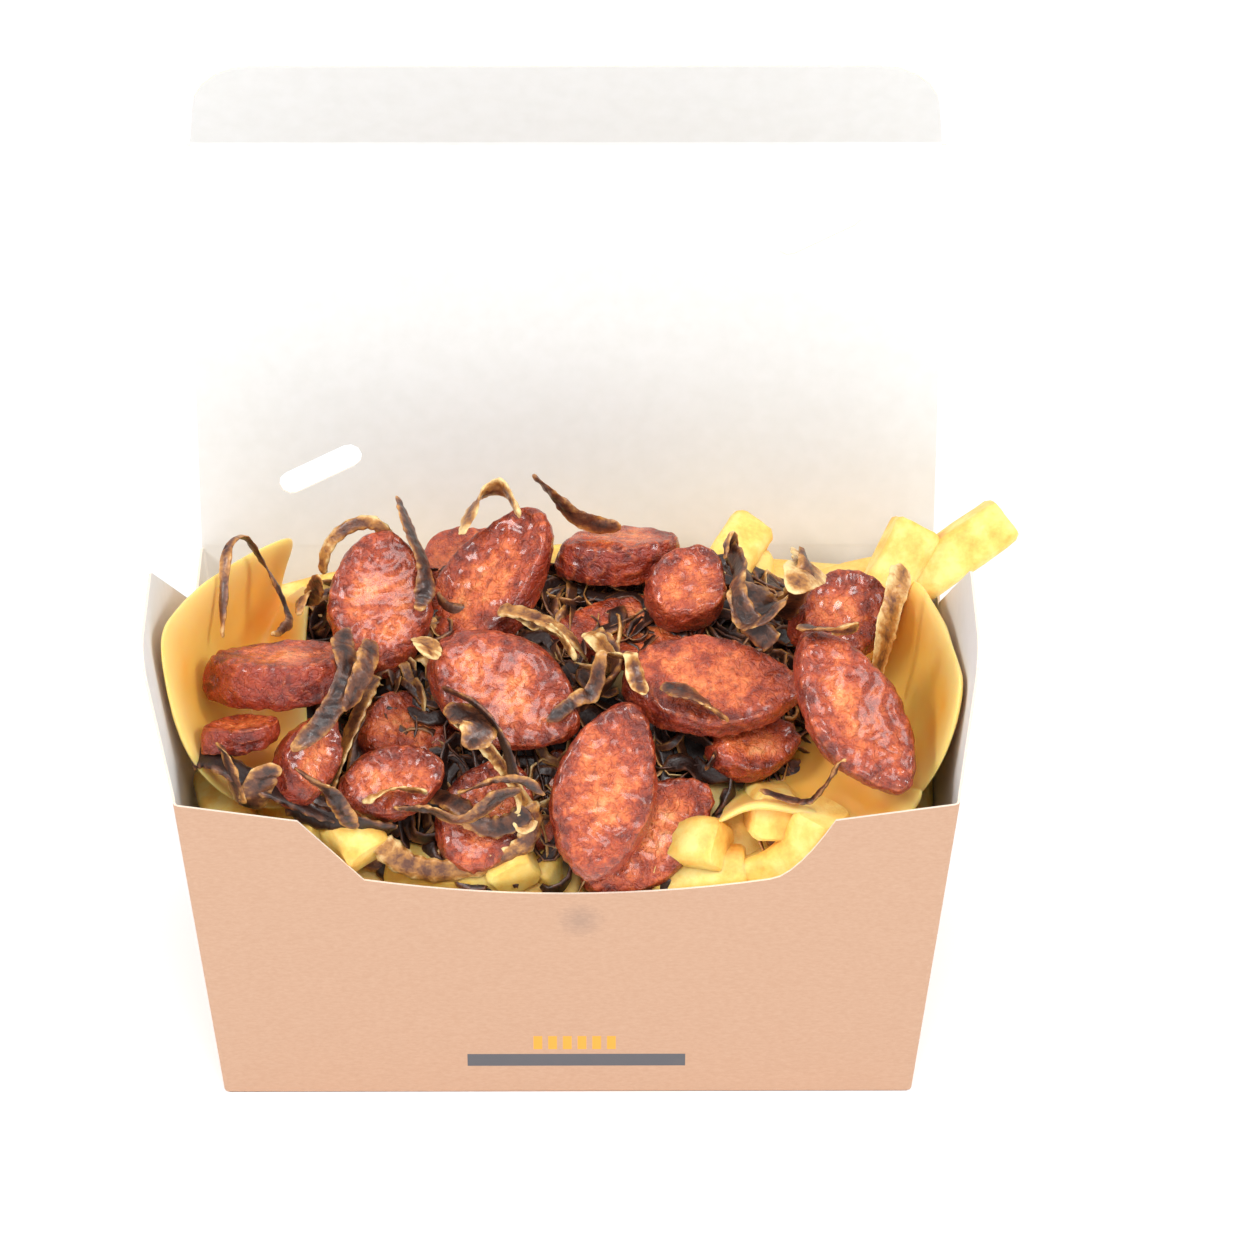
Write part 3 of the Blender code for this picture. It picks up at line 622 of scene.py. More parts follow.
@dataclass(frozen=True)
class FriedOnion(Finish):
    """Onion fried dark: thin, brittle, glassy brown to black, golden where it is thinnest."""

    roughness: float = 0.42
    relief: tuple[float, float] = (0.5, 0.5 * MM)
    soak: float = 0.1
    reach: Place = (2 * MM, 1 * MM, 0.4 * MM)
    coat: tuple[float, float] = (0.2, 0.2)
    black: str = "#2E1912"
    brown: str = "#6A3D26"
    golden: str = "#B97F3E"
    pale: str = "#E9C88A"

    def pattern(self, tree: Tree, place: Socket) -> tuple[Socket, Socket | None]:
        """Burnt middle, golden rims, veins along the sliver and a brittle gloss."""
        # Burnt fields are about 6 mm long, and veins about 1 mm apart
        fields = add_node(tree, "ShaderNodeTexNoise", {},
                          {"Vector": place, "Scale": lumps(6.25), "Detail": 4.0}).outputs[0]
        veins = add_node(tree, "ShaderNodeTexNoise", {},
                         {"Vector": place, "Scale": lumps(1), "Detail": 3.0,
                          "Distortion": 0.5}).outputs[0]
        tone, crest = painted(tree, "tone", "crest")
        gold = weighted_sum(tree, tone, (crest, 0.75), (fields, 0.7), (veins, 0.35))
        gold = add_node(tree, "ShaderNodeMath", {"operation": "SUBTRACT"}, {0: gold, 1: 0.02}).outputs[0]
        color = add_node(tree, "ShaderNodeValToRGB",
                         {"stops": [(0.4, self.black), (0.6, self.brown),
                                    (0.8, self.golden), (0.98, self.pale)]},
                         {"Fac": gold}).outputs[0]
        return color, veins


@dataclass(frozen=True)
class PaleFloor(Finish):
    """Matte white painted sweep under the carton."""

    roughness: float = 0.9
    base: str = "#FFFFFF"

    def pattern(self, tree: Tree, place: Socket) -> tuple[Socket, Socket | None]:
        """One plain colour without relief."""
        color = add_node(tree, "ShaderNodeRGB").outputs[0]
        color.default_value = linear(self.base)
        return color, None


# The carton


@dataclass
class Carton:
    """Folded board: the tray, its lid with the tuck flap, and a dust flap at each side."""

    board: float = 0.6 * MM
    height: float = 93.5 * MM
    rim_width: float = 180 * MM
    rim_depth: float = 106 * MM
    axis_lift: float = 0.35 * MM
    crease_gap: float = 0.5 * MM
    lid_width: float = 179.2 * MM
    lid_height: float = 106 * MM
    lid_lean: float = 7.5
    tuck_fold: float = 25.0
    flap_lean: tuple[float, float] = (8.0, 4.5)
    flap_span: tuple[float, float] = (-51.5 * MM, 27 * MM)
    tuck_inset: float = 1 * MM
    base_zone: float = 5 * MM
    middle_height: float = 60 * MM

    def __post_init__(self) -> None:
        """Builds the three faces of the board."""
        self.materials = [KraftOutside("kraft_board_outside").build(),
                          WhiteInside("clay_coated_board_inside").build(),
                          CutEdge("die_cut_board_edge").build()]

    def side_of(self, face: bpy.types.MeshPolygon, main: Vector | None) -> BoardSide:
        """Tells which side of the board a face is on.

        Args:
            face: Polygon of the panel.
            main: The flat panel's own normal, or None for the tray.

        Returns:
            The side of the board.
        """
        normal, centre = face.normal, face.center
        if main is None:
            if abs(normal.z) > 0.8 and centre.z < self.base_zone:
                return BoardSide.OUTSIDE if normal.z < 0 else BoardSide.INSIDE
            if max(abs(normal.x), abs(normal.y)) < 0.9:
                return BoardSide.CUT_EDGE if centre.z > self.base_zone else BoardSide.OUTSIDE
        elif abs(normal.dot(main)) < 0.7:
            return BoardSide.CUT_EDGE
        outward = normal.dot(centre - Vector((0, 0, min(centre.z, self.middle_height))))
        return BoardSide.OUTSIDE if outward > 0 else BoardSide.INSIDE

    def panel(self, node: str, body: str) -> None:
        """Dresses one panel in the faces of the board.

        Args:
            node: Solid that the panel stands for.
            body: Body that it rides on.
        """
        mesh = merged_copy(node, quads=False)
        main = None
        if node != "tray":
            main = max(mesh.polygons, key=lambda face: face.area).normal.copy()
        for face in mesh.polygons:
            face.use_smooth = False
            face.material_index = self.side_of(face, main).value
        add_piece(f"{node}_board", mesh, body, self.materials, [node])

    def crease(self, name: str, bodies: tuple[str, str], start: tuple[Vector, Vector],
               end: tuple[Vector, Vector], along: Vector, count: int = 12, rows: int = 4) -> None:
        """The scored strip of board that bends between two panels.

        Args:
            name: Name of the piece.
            bodies: Body at the start and body at the end of the bend.
            start: Outer and inner corner of the board where the bend starts.
            end: Outer and inner corner where it ends.
            along: Vector from one end of the crease to the other.
            count: Steps along the crease.
            rows: Steps around the bend.
        """
        verts, faces = [], []
        for k in range(count + 1):
            shift = along * (k / count)
            for side in (0, 1):
                verts += [start[side].lerp(end[side], r / rows) + shift for r in range(rows + 1)]
        step, half = 2 * (rows + 1), rows + 1
        for k in range(count):
            a = k * step
            for r in range(rows):
                faces.append((a + r, a + r + 1, a + step + r + 1, a + step + r))
                b = a + half
                faces.append((b + r + 1, b + r, b + step + r, b + step + r + 1))
            faces.append((a, a + step, a + step + half, a + half))
            faces.append((a + rows, a + half + rows, a + step + half + rows, a + step + rows))
        for a, flip in ((0, False), (count * step, True)):
            for r in range(rows):
                quad = (a + r, a + half + r, a + half + r + 1, a + r + 1)
                faces.append(tuple(reversed(quad)) if flip else quad)
        mesh = bpy.data.meshes.new(name)
        mesh.from_pydata(verts, [], faces)
        bm = bmesh.new()
        bm.from_mesh(mesh)
        bmesh.ops.recalc_face_normals(bm, faces=bm.faces[:])
        bm.to_mesh(mesh)
        bm.free()
        outward = (start[0] - start[1]).normalized()
        for face in mesh.polygons:
            facing = face.normal.dot(outward)
            side = BoardSide.CUT_EDGE
            if abs(facing) > 0.5:
                side = BoardSide.OUTSIDE if facing > 0 else BoardSide.INSIDE
            face.material_index = side.value
        for material in self.materials:
            mesh.materials.append(material)
        piece = link(name, mesh)
        LOG.info("%s: %d faces", name, len(mesh.polygons))
        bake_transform(piece, *bodies, start=tuple((start[0] + start[1]) / 2), end=tuple((end[0] + end[1]) / 2))

    def lean(self, degrees: float, outward: Vector) -> tuple[Vector, Vector]:
        """A leaning panel's way up and its way out.

        Args:
            degrees: How far it leans outwards from upright.
            outward: Level direction away from the tray.

        Returns:
            The direction up along the panel, and the one that its outer face looks in.
        """
        angle, upright = math.radians(degrees), Vector((0, 0, 1))
        return (upright * math.cos(angle) + outward * math.sin(angle),
                outward * math.cos(angle) - upright * math.sin(angle))

    def corners(self, middle: Vector, out: Vector) -> tuple[Vector, Vector]:
        """Outer and inner corner of the board around a place in its middle."""
        return middle + out * self.board / 2, middle - out * self.board / 2

    def lid_creases(self) -> None:
        """The folds at the lid's hinge and at its tuck flap."""
        outward = Vector((0, 1, 0))
        wall = Vector((0, (self.rim_depth - self.board) / 2, self.height))
        hinge = wall + Vector((0, 0, self.axis_lift))
        up, out = self.lean(self.lid_lean, outward)
        up_tuck, out_tuck = self.lean(self.lid_lean - self.tuck_fold, outward)
        left = Vector((-self.lid_width / 2, 0, 0))
        self.crease("lid_crease_strip", ("carton", "lid"),
                    self.corners(wall + left, outward),
                    self.corners(hinge + up * self.crease_gap + left, out),
                    Vector((self.lid_width, 0, 0)))
        left.x += self.tuck_inset
        axis = hinge + up * self.lid_height + left
        self.crease("tuck_crease_strip", ("lid", "tuck_flap"),
                    self.corners(axis - up * self.crease_gap, out),
                    self.corners(axis + up_tuck * self.crease_gap, out_tuck),
                    Vector((self.lid_width - 2 * self.tuck_inset, 0, 0)))

    def flap_creases(self) -> None:
        """The folds at the two dust flaps."""
        front, rear = self.flap_span
        for name, side, degrees in (("left", -1, self.flap_lean[0]), ("right", 1, self.flap_lean[1])):
            outward = Vector((side, 0, 0))
            up, out = self.lean(degrees, outward)
            wall = Vector((side * (self.rim_width - self.board) / 2, front, self.height))
            hinge = wall + Vector((0, 0, self.axis_lift))
            self.crease(f"dust_flap_{name}_crease_strip", ("carton", f"dust_flap_{name}"),
                        self.corners(wall, outward),
                        self.corners(hinge + up * self.crease_gap, out),
                        Vector((0, rear - front, 0)))

    def build(self) -> None:
        """Dresses every panel and adds the folds between them."""
        self.panel("tray", "carton")
        for node in ("lid", "tuck_flap", "dust_flap_left", "dust_flap_right"):
            self.panel(node, node)
        self.lid_creases()
        self.flap_creases()


# Strands that follow paths


@dataclass
class Strand:
    """A path in millimetres with the width of the strand and its turn.

    "twist" is added to the turn from end to end, "taper" is the width left at each end, and
    "ribs" is how far every other point is wider.
    """

    path: list[Vector]
    width: float
    turn: float
    twist: float = 0.0
    tone: float = 0.0
    taper: tuple[float, float] = (0.86, 0.86)
    ribs: float = 0.0


class StrandMaker:
    """Sweeps a section along paths with Geometry Nodes."""

    rib_tone: float = 0.35

    def __init__(self, shape: StrandShape, material: bpy.types.Material) -> None:
        """Builds the tree once for one shape of strand.

        Args:
            shape: Section of the strand.
            material: Material that the tree sets.
        """
        self.shape = shape
        self.material = material
        self.tree = self.make_tree()

    def make_tree(self) -> Tree:
        """The node tree that turns edges into strands."""
        tree = bpy.data.node_groups.new(f"{self.shape.name.lower()}_strands", "GeometryNodeTree")
        face = tree.interface
        face.new_socket("Geometry", in_out="INPUT", socket_type="NodeSocketGeometry")
        for name, kind in (("Section Width", "NodeSocketFloat"), ("Section Height", "NodeSocketFloat"),
                           ("Corner", "NodeSocketFloat"), ("Section Points", "NodeSocketInt"),
                           ("Material", "NodeSocketMaterial")):
            face.new_socket(name, in_out="INPUT", socket_type=kind)
        face.new_socket("Geometry", in_out="OUTPUT", socket_type="NodeSocketGeometry")
        inp = add_node(tree, "NodeGroupInput").outputs
        width, turn = (add_node(tree, "GeometryNodeInputNamedAttribute", {"data_type": "FLOAT"},
                                {"Name": name}) for name in ("width", "turn"))
        curve = add_node(tree, "GeometryNodeMeshToCurve", {}, {"Mesh": inp["Geometry"]})
        curve = add_node(tree, "GeometryNodeSetCurveRadius", {},
                         {"Curve": curve.outputs[0], "Radius": width.outputs[0]})
        curve = add_node(tree, "GeometryNodeSetCurveTilt", {},
                         {"Curve": curve.outputs[0], "Tilt": turn.outputs[0]})
        outline = add_node(tree, "GeometryNodeCurvePrimitiveQuadrilateral", {},
                           {"Width": inp["Section Width"], "Height": inp["Section Height"]})
        outline = add_node(tree, "GeometryNodeFilletCurve", {},
                           {"Curve": outline.outputs[0], "Radius": inp["Corner"], "Limit Radius": True})
        outline = add_node(tree, "GeometryNodeResampleCurve", {},
                           {"Curve": outline.outputs[0], "Count": inp["Section Points"]})
        swept = add_node(tree, "GeometryNodeCurveToMesh", {},
                         {"Curve": curve.outputs[0], "Profile Curve": outline.outputs[0],
                          "Fill Caps": True})
        if "Scale" in swept.inputs:
            tree.links.new(width.outputs[0], swept.inputs["Scale"])
        smooth = add_node(tree, "GeometryNodeSetShadeSmooth", {}, {"Geometry": swept.outputs[0]})
        real = add_node(tree, "GeometryNodeRealizeInstances", {}, {"Geometry": smooth.outputs[0]})
        dressed = add_node(tree, "GeometryNodeSetMaterial", {},
                           {"Geometry": real.outputs[0], "Material": inp["Material"]})
        add_node(tree, "NodeGroupOutput", {}, {"Geometry": dressed.outputs[0]})
        return tree

    def sweep(self, strands: Sequence[Strand]) -> bpy.types.Mesh:
        """Turns strands into one mesh with its "tone" painted.

        Args:
            strands: The strands to sweep.

        Returns:
            A plain mesh.
        """
        verts, edges, widths, turns, tones = [], [], [], [], []
        for strand in strands:
            first, last = len(verts), len(strand.path) - 1
            for k, point in enumerate(strand.path):
                verts.append(point * MM)
                end = min(k, last - k)
                close = strand.taper[0] if k <= last - k else strand.taper[1]
                grow = 1.0 if end > 1 else close + (1 - close) * (0.0 if end == 0 else 0.8)
                rib = strand.ribs * (-1) ** k
                widths.append(strand.width * grow * (1 + rib) * MM)
                turns.append(strand.turn + strand.twist * k / last)
                tones.append(strand.tone + self.rib_tone * rib)
                if k:
                    edges.append((first + k - 1, first + k))
        mesh = bpy.data.meshes.new("paths")
        mesh.from_pydata(verts, edges, [])
        for name, values in (("width", widths), ("turn", turns), ("tone", tones)):
            paint(mesh, name, np.array(values))
        carrier = link("paths", mesh)
        step = carrier.modifiers.new("sweep", "NODES")
        step.node_group = self.tree
        names = ("Section Width", "Section Height", "Corner", "Section Points", "Material")
        values = dict(zip(names, (*self.shape.value, self.material)))
        for item in self.tree.interface.items_tree:
            if item.in_out == "INPUT" and item.name in values:
                step[item.identifier] = values[item.name]
        return finished(carrier)


def bend(points: Bend, stations: int = 14) -> list[Vector]:
    """Points of a smooth bend whose ends crowd together, so that the cut ends stay crisp.

    Args:
        points: Start, pull and end of the bend, in millimetres.
        stations: Number of points.

    Returns:
        The points along the bend.
    """
    a, b, c = (Vector(p) for p in points)
    places = [0.0, 0.02] + [0.06 + 0.88 * k / (stations - 5) for k in range(stations - 4)] + [0.98, 1.0]
    return [a * (1 - t) ** 2 + b * 2 * t * (1 - t) + c * t * t for t in places]


def smooth_route(places: Sequence[Place], rounds: int = 2) -> list[Vector]:
    """A smooth path along the places, found by cutting its corners.

    Args:
        places: Places in millimetres.
        rounds: How often the corners are cut.

    Returns:
        The points of the path.
    """
    route = [Vector(place) for place in places]
    for _ in range(rounds):
        inner = [p for a, b in zip(route, route[1:]) for p in (a.lerp(b, 0.25), a.lerp(b, 0.75))]
        route = [route[0], *inner, route[-1]]
    return route


# The heap of fries


@dataclass
class Heap:
    """The fries: a bumpy core up to the toppings, with real fries laid on it; in millimetres.

    "clear" is the room to the walls, "skin" the room under the solid's own heap and under a slice,
    and "bury" how far above a slice the core may be before the slice counts as buried in it. Dark
    onion, with painted shade for the gaps between the toppings, covers the core between the two
    places of each pair of patch limits, where it fades out.
    """

    base_half: tuple[float, float] = (82.5, 43.0)
    rim_half: tuple[float, float] = (90.0, 53.0)
    height: float = 93.5
    floor: float = 1.2
    clear: float = 1.05
    skin: float = 1.2
    bury: float = 14.0
    above: float = 250.0
    core_half: tuple[float, float] = (89.0, 51.0)
    ripple: float = 1.2
    side_drop: float = 12.0
    back_drop: float = 4.5
    grid: tuple[int, int] = (150, 92)
    # Patch of dark onion and painted shade: its middle, and where it fades at the sides, front and back
    onion_shade_middle: float = -2.0
    onion_shade_sides: tuple[float, float] = (48.0, 66.0)
    onion_shade_front: tuple[float, float] = (-44.0, -34.0)
    onion_shade_back: tuple[float, float] = (28.0, 38.0)
    bare_right: tuple[float, float] = (22.0, 30.0)
    bare_front: tuple[float, float] = (-32.0, -24.0)
    fry: float = 11.4
    thin_fry: float = 10.6
    back: float = 42.0
    scatter_count: int = 9
    scatter_half: float = 74.0
    scatter_rows: tuple[float, float] = (27.0, 41.0)
    scatter_length: tuple[float, float] = (20.0, 30.0)
    scatter_limit: tuple[float, float] = (78.0, 45.5)
    seed: int = 4

    # Height of the heap from front (-1) to back (1), in the tray's middle and at its sides
    middle: tuple[tuple[float, float], ...] = (
        (-1.0, 57), (-0.7, 74), (-0.35, 91), (0.0, 101), (0.35, 106), (0.6, 104), (0.85, 96), (1.0, 86))
    side: tuple[tuple[float, float], ...] = (
        (-1.0, 66), (-0.6, 74), (0.0, 84), (0.5, 89), (0.8, 88), (1.0, 82))

    # Fries that show, each by its two ends and the point that bends it
    shown: tuple[Bend, ...] = (
        ((-60, -30, 74), (-52, -40, 79), (-46, -47, 74)),
        ((-18, -20, 66), (-15, -36, 70), (-12, -46.5, 67)),
        ((16, -30, 64), (26, -38, 72), (36, -43, 74)),
        ((28, -41, 62), (55, -42, 60), (59, -44, 85)),
        ((44, -12, 70), (47, -30, 76), (48.5, -43, 82)),
        ((8, -26, 60), (16, -38, 63), (24, -43, 65)),
        ((30, 8, 98), (40, 34, 106), (44, 42, 104)),
        ((64, 8, 88), (78, 26, 102), (84, 34, 112)),
        ((48, 12, 84), (78, 27, 95), (105.5, 39.5, 110.8)),
        ((40, 26, 88), (64, 36, 92), (84, 42, 92)),
    )

    # More fries that fill the gaps at the front rim and along the back
    extra: tuple[Bend, ...] = (
        ((-42, -39, 66), (-30, -41, 64), (-14, -41, 63)),
        ((-2, -30, 66), (-4, -37, 64), (-7, -41, 61.5)),
        ((14, -40, 60), (27, -41, 64), (42, -41, 66)),
        ((24, -40, 56), (34, -41, 59), (46, -41, 63)),
        ((-72, -24, 77), (-64, -34, 77), (-56, -42, 77)),
        ((66, -22, 70), (70, -34, 73), (76, -42, 73)),
        ((-82, -20, 76), (-80, -32, 79), (-76, -42, 77)),
        ((6, 30, 95), (16, 36, 93), (26, 41, 89)),
        ((-30, 35, 92), (-16, 39, 91), (0, 42, 88)),
        ((-64, 37, 84), (-50, 40, 87), (-34, 42, 86)),
    )

    def __post_init__(self) -> None:
        """Collects the toppings that the core has to stay under."""
        self.material = FriedPotato("fried_potato").build()
        verts, faces = [], []
        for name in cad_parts:
            if name.startswith("sausage"):
                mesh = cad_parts[name].data
                start = len(verts)
                verts += [v.co.copy() for v in mesh.vertices]
                faces += [tuple(start + k for k in p.vertices) for p in mesh.polygons]
        self.toppings = BVHTree.FromPolygons(verts, faces)

    def core_height(self, u: float, v: float) -> float:
        """Height of the bare core; u and v run from -1 to 1 across the tray and to its back."""
        middle = float(np.interp(v, *zip(*self.middle)))
        side = float(np.interp(v, *zip(*self.side)))
        blend = smoothstep(0.42, 0.76, abs(u))
        fall = min(max((abs(u) - 0.88) / 0.12, 0.0), 1.0)
        ripple = self.ripple * math.sin(9.0 * u + 2.0 * v) * math.cos(7.0 * v - 3.0 * u)
        back = self.back_drop * smoothstep(0.42, 0.66, v)
        drop = self.side_drop * fall * fall + back
        return middle + (side - middle) * blend + ripple * (1 - fall) - drop

    def inside(self, z: float) -> tuple[float, float]:
        """Half size of the room inside the tray's walls at a height."""
        f = z / self.height
        return tuple(b + (r - b) * f - self.clear for b, r in zip(self.base_half, self.rim_half))

    def slice_over(self, x: float, y: float) -> float | None:
        """Height of the slice of sausage over a place, or None where there is none."""
        hit = self.toppings.ray_cast(Vector((x, y, self.above)) * MM, Vector((0, 0, -1)))[0]
        return None if hit is None else hit.z / MM

    def tucked(self, x: float, y: float, z: float) -> float:
        """The height z at a place, lowered where it would come through a slice of sausage."""
        over = self.slice_over(x, y)
        if over is not None and over - self.skin < z < over + self.bury:
            return over - self.skin
        return z

    def top(self, x: float, y: float) -> float:
        """Height of the core at a place, kept under the slices of sausage."""
        u, v = x / self.core_half[0], y / self.core_half[1]
        return self.tucked(x, y, self.core_height(u, v) - self.skin)

    def onion_and_shade_at(self, x: float, y: float) -> float:
        """How much dark onion and painted shade cover the core at a place, from 0 to 1."""
        across = 1 - smoothstep(*self.onion_shade_sides, abs(x - self.onion_shade_middle))
        front = smoothstep(*self.onion_shade_front, y)
        back = 1 - smoothstep(*self.onion_shade_back, y)
        bare = smoothstep(*self.bare_right, x) * (1 - smoothstep(*self.bare_front, y))
        patch = noise.noise(Vector((x, y, 3.0)) / 9.0)
        return max(0.0, min(1.0, across * front * back * (1 - bare) * (1.35 + 1.1 * patch)))

    def core(self) -> bpy.types.Mesh:
        """The core as a closed mesh with its relief, and with dark onion and painted shade painted on it."""
        nx, ny = self.grid
        verts, onion_and_shade_values, index, faces = [], [], {}, []
        for i in range(nx + 1):
            for j in range(ny + 1):
                u, v = -1 + 2 * i / nx, -1 + 2 * j / ny
                z = self.core_height(u, v)
                sx, sy = self.inside(z)
                x, y = u * sx, v * sy
                # Dark onion, and painted shade in the gaps between the toppings
                stain = self.onion_and_shade_at(x, y)
                lump = noise.noise(Vector((x, y, 0)) / 5.0) + 0.6 * noise.noise(Vector((x, y, 9)) / 2.2)
                z = self.tucked(x, y, z - self.skin + lump * (0.5 + 1.3 * stain))
                index[i, j] = len(verts)
                verts.append(Vector((x, y, z)) * MM)
                onion_and_shade_values.append(stain)
        for i in range(nx):
            for j in range(ny):
                faces.append((index[i, j], index[i + 1, j], index[i + 1, j + 1], index[i, j + 1]))
        rim = [(i, 0) for i in range(nx)] + [(nx, j) for j in range(ny)]
        rim += [(i, ny) for i in range(nx, 0, -1)] + [(0, j) for j in range(ny, 0, -1)]
        sx, sy = self.inside(self.floor)
        base = []
        for i, j in rim:
            base.append(len(verts))
            verts.append(Vector((sx * (-1 + 2 * i / nx), sy * (-1 + 2 * j / ny), self.floor)) * MM)
            onion_and_shade_values.append(0.0)
        for k, place in enumerate(rim):
            n = (k + 1) % len(rim)
            faces.append((index[place], base[k], base[n], index[rim[n]]))
        faces.append(tuple(base))
        mesh = bpy.data.meshes.new("core")
        mesh.from_pydata(verts, [], faces)
        mesh.shade_smooth()
        bm = bmesh.new()
        bm.from_mesh(mesh)
        bmesh.ops.recalc_face_normals(bm, faces=bm.faces[:])
        bm.to_mesh(mesh)
        bm.free()
        # Dark onion and painted shade for the gaps between the toppings
        paint(mesh, "stain", np.array(onion_and_shade_values))
        return mesh

    def scattered(self) -> list[tuple[Vector, Vector, Vector]]:
        """Fries lying at odd angles along the back of the pile, as in the solids."""
        rng = random.Random(self.seed)
        right, rear = self.scatter_limit
        found = []
        for k in range(self.scatter_count):
            x = self.scatter_half * (2 * (k + rng.uniform(0.2, 0.8)) / self.scatter_count - 1)
            y = rng.uniform(*self.scatter_rows)
            heading = math.radians(rng.uniform(-70, 70))
            half = rng.uniform(*self.scatter_length)
            z = self.core_height(x / 88, y / 51) + rng.uniform(-4, 0)
            dx, dy = half * math.cos(heading), half * math.sin(heading) * 0.35
            y_low, y_high = y - abs(dy), min(y + abs(dy), rear)
            ends = []
            for s in (-1, 1):
                ex = max(min(x + s * dx, right), -right)
                ey = y_low if s * dy < 0 else y_high
                ends.append(Vector((ex, ey, min(z, self.core_height(ex / 88, ey / 51) + 3))))
            found.append((ends[0], Vector((x, y, z + 3)), ends[1]))
        return found

    def build(self) -> None:
        """Lays the core and the fries."""
        add_piece("fries_core", self.core(), "carton", [self.material], ["fries"])
        # Each group of fries with its width, and its first turn and the turn from fry to fry in degrees
        groups = ((self.shown, self.fry, 12, 17), (self.extra, self.thin_fry, 5, 19),
                  (self.scattered(), self.fry, 8, 23))
        strands = [Strand(bend(points), width, math.radians(first + turn * k))
                   for group, width, first, turn in groups for k, points in enumerate(group)]
        for strand in strands:
            for point in strand.path:
                point.y = min(point.y, self.back)
        mesh = StrandMaker(StrandShape.FRY, self.material).sweep(strands)
        displaced(mesh, (0.5, 9, 2.0), (0.2, 2.5, 5.0))
        paint(mesh, "edge", np.clip(2.5 * bulge(mesh), 0, 1))
        paint(mesh, "stain", np.zeros(len(mesh.vertices)))
        add_piece("fries_laid", mesh, "carton", [self.material])


# Cheese, sausage and onion


@dataclass
class CheeseSlices:
    """Square slices of cheese that drape over the heap and lean on the walls."""

    nodes: tuple[str, ...] = ("cheese_left", "cheese_right_back", "cheese_right_front")

    def build(self) -> None:
        """Rounds each slice and marks its edges, which are painted paler."""
        material = SlicedCheese("processed_cheese_slice").build()
        for node in self.nodes:
            mesh = merged_copy(node)
            paint(mesh, "edge", np.clip(3.0 * bulge(mesh), 0, 1))
            mesh = subdivided(mesh)
            displaced(mesh, (0.35, 18, 4.0), (0.08, 5, 1.0))
            add_piece(f"{node}_slice", mesh, "carton", [material], [node])


@dataclass
class SausageSlices:
    """Slanting slices of sausage with crisp rims and wrinkled skin."""

    count: int = 21

    def own_frame(self, points: np.ndarray) -> tuple[np.ndarray, np.ndarray, np.ndarray]:
        """Middle, axes and half sizes of a slice.

        Args:
            points: Vertices of the solid.

        Returns:
            The middle, a matrix whose rows are length, width and thickness, and half sizes.
        """
        middle = (points.max(0) + points.min(0)) / 2
        middle = points.mean(0) * 0.5 + middle * 0.5
        _, axes = np.linalg.eigh(np.cov((points - middle).T))
        axes = axes.T[::-1]
        local = (points - middle) @ axes.T
        return middle, axes, np.abs(local).max(0)

    def slice(self, node: str, material: bpy.types.Material, seed: int) -> None:
        """Dresses one slice.

        Args:
            node: Solid that it stands for.
            material: Finish of the sausage.
            seed: Changes its wrinkles.
        """
        mesh = merged_copy(node)
        middle, axes, half = self.own_frame(points_of(mesh))
        mesh = subdivided(mesh)
        points, normals = points_of(mesh), normals_of(mesh)
        local = (points - middle) @ axes.T / half
        reach = np.hypot(local[:, 0], local[:, 1])
        facing = np.abs(normals @ axes[2])
        skin = np.clip((0.78 - facing) / 0.3, 0, 1)
        rim = np.clip((reach - 0.45) / 0.5, 0, 1) ** 1.6
        coarse = noise_at(points, 9 * MM, seed)
        fine = noise_at(points, 2.2 * MM, seed + 3.1)
        ridge = 1 - 2.4 * np.abs(noise_at(points, 3.4 * MM, seed + 7.7))
        lip = 0.5 * np.clip((reach - 0.72) / 0.2, 0, 1) * (1 - skin) * (0.7 + fine)
        shift = 0.4 * coarse + 0.3 * fine + (0.18 + 0.2 * rim) * ridge + lip
        curl = 1.2 * rim * noise_at(points, 13 * MM, seed + 11.3)
        set_points(mesh, points + (normals * shift[:, None] + axes[2] * curl[:, None]) * MM)
        # Convexity, which the finish turns into painted shade in grooves and painted highlights on crests
        paint(mesh, "crest", np.clip(0.5 + 1.6 * bulge(mesh), 0, 1))
        paint(mesh, "rim", np.clip((reach - 0.22) / 0.78, 0, 1) ** 1.3)
        paint(mesh, "skin", skin)
        add_piece(f"{node}_slice", mesh, "carton", [material], [node])

    def build(self) -> None:
        """Dresses every slice."""
        material = FriedSausage("fried_sausage").build()
        for k in range(1, self.count + 1):
            self.slice(f"sausage_{k:02d}", material, seed=k)


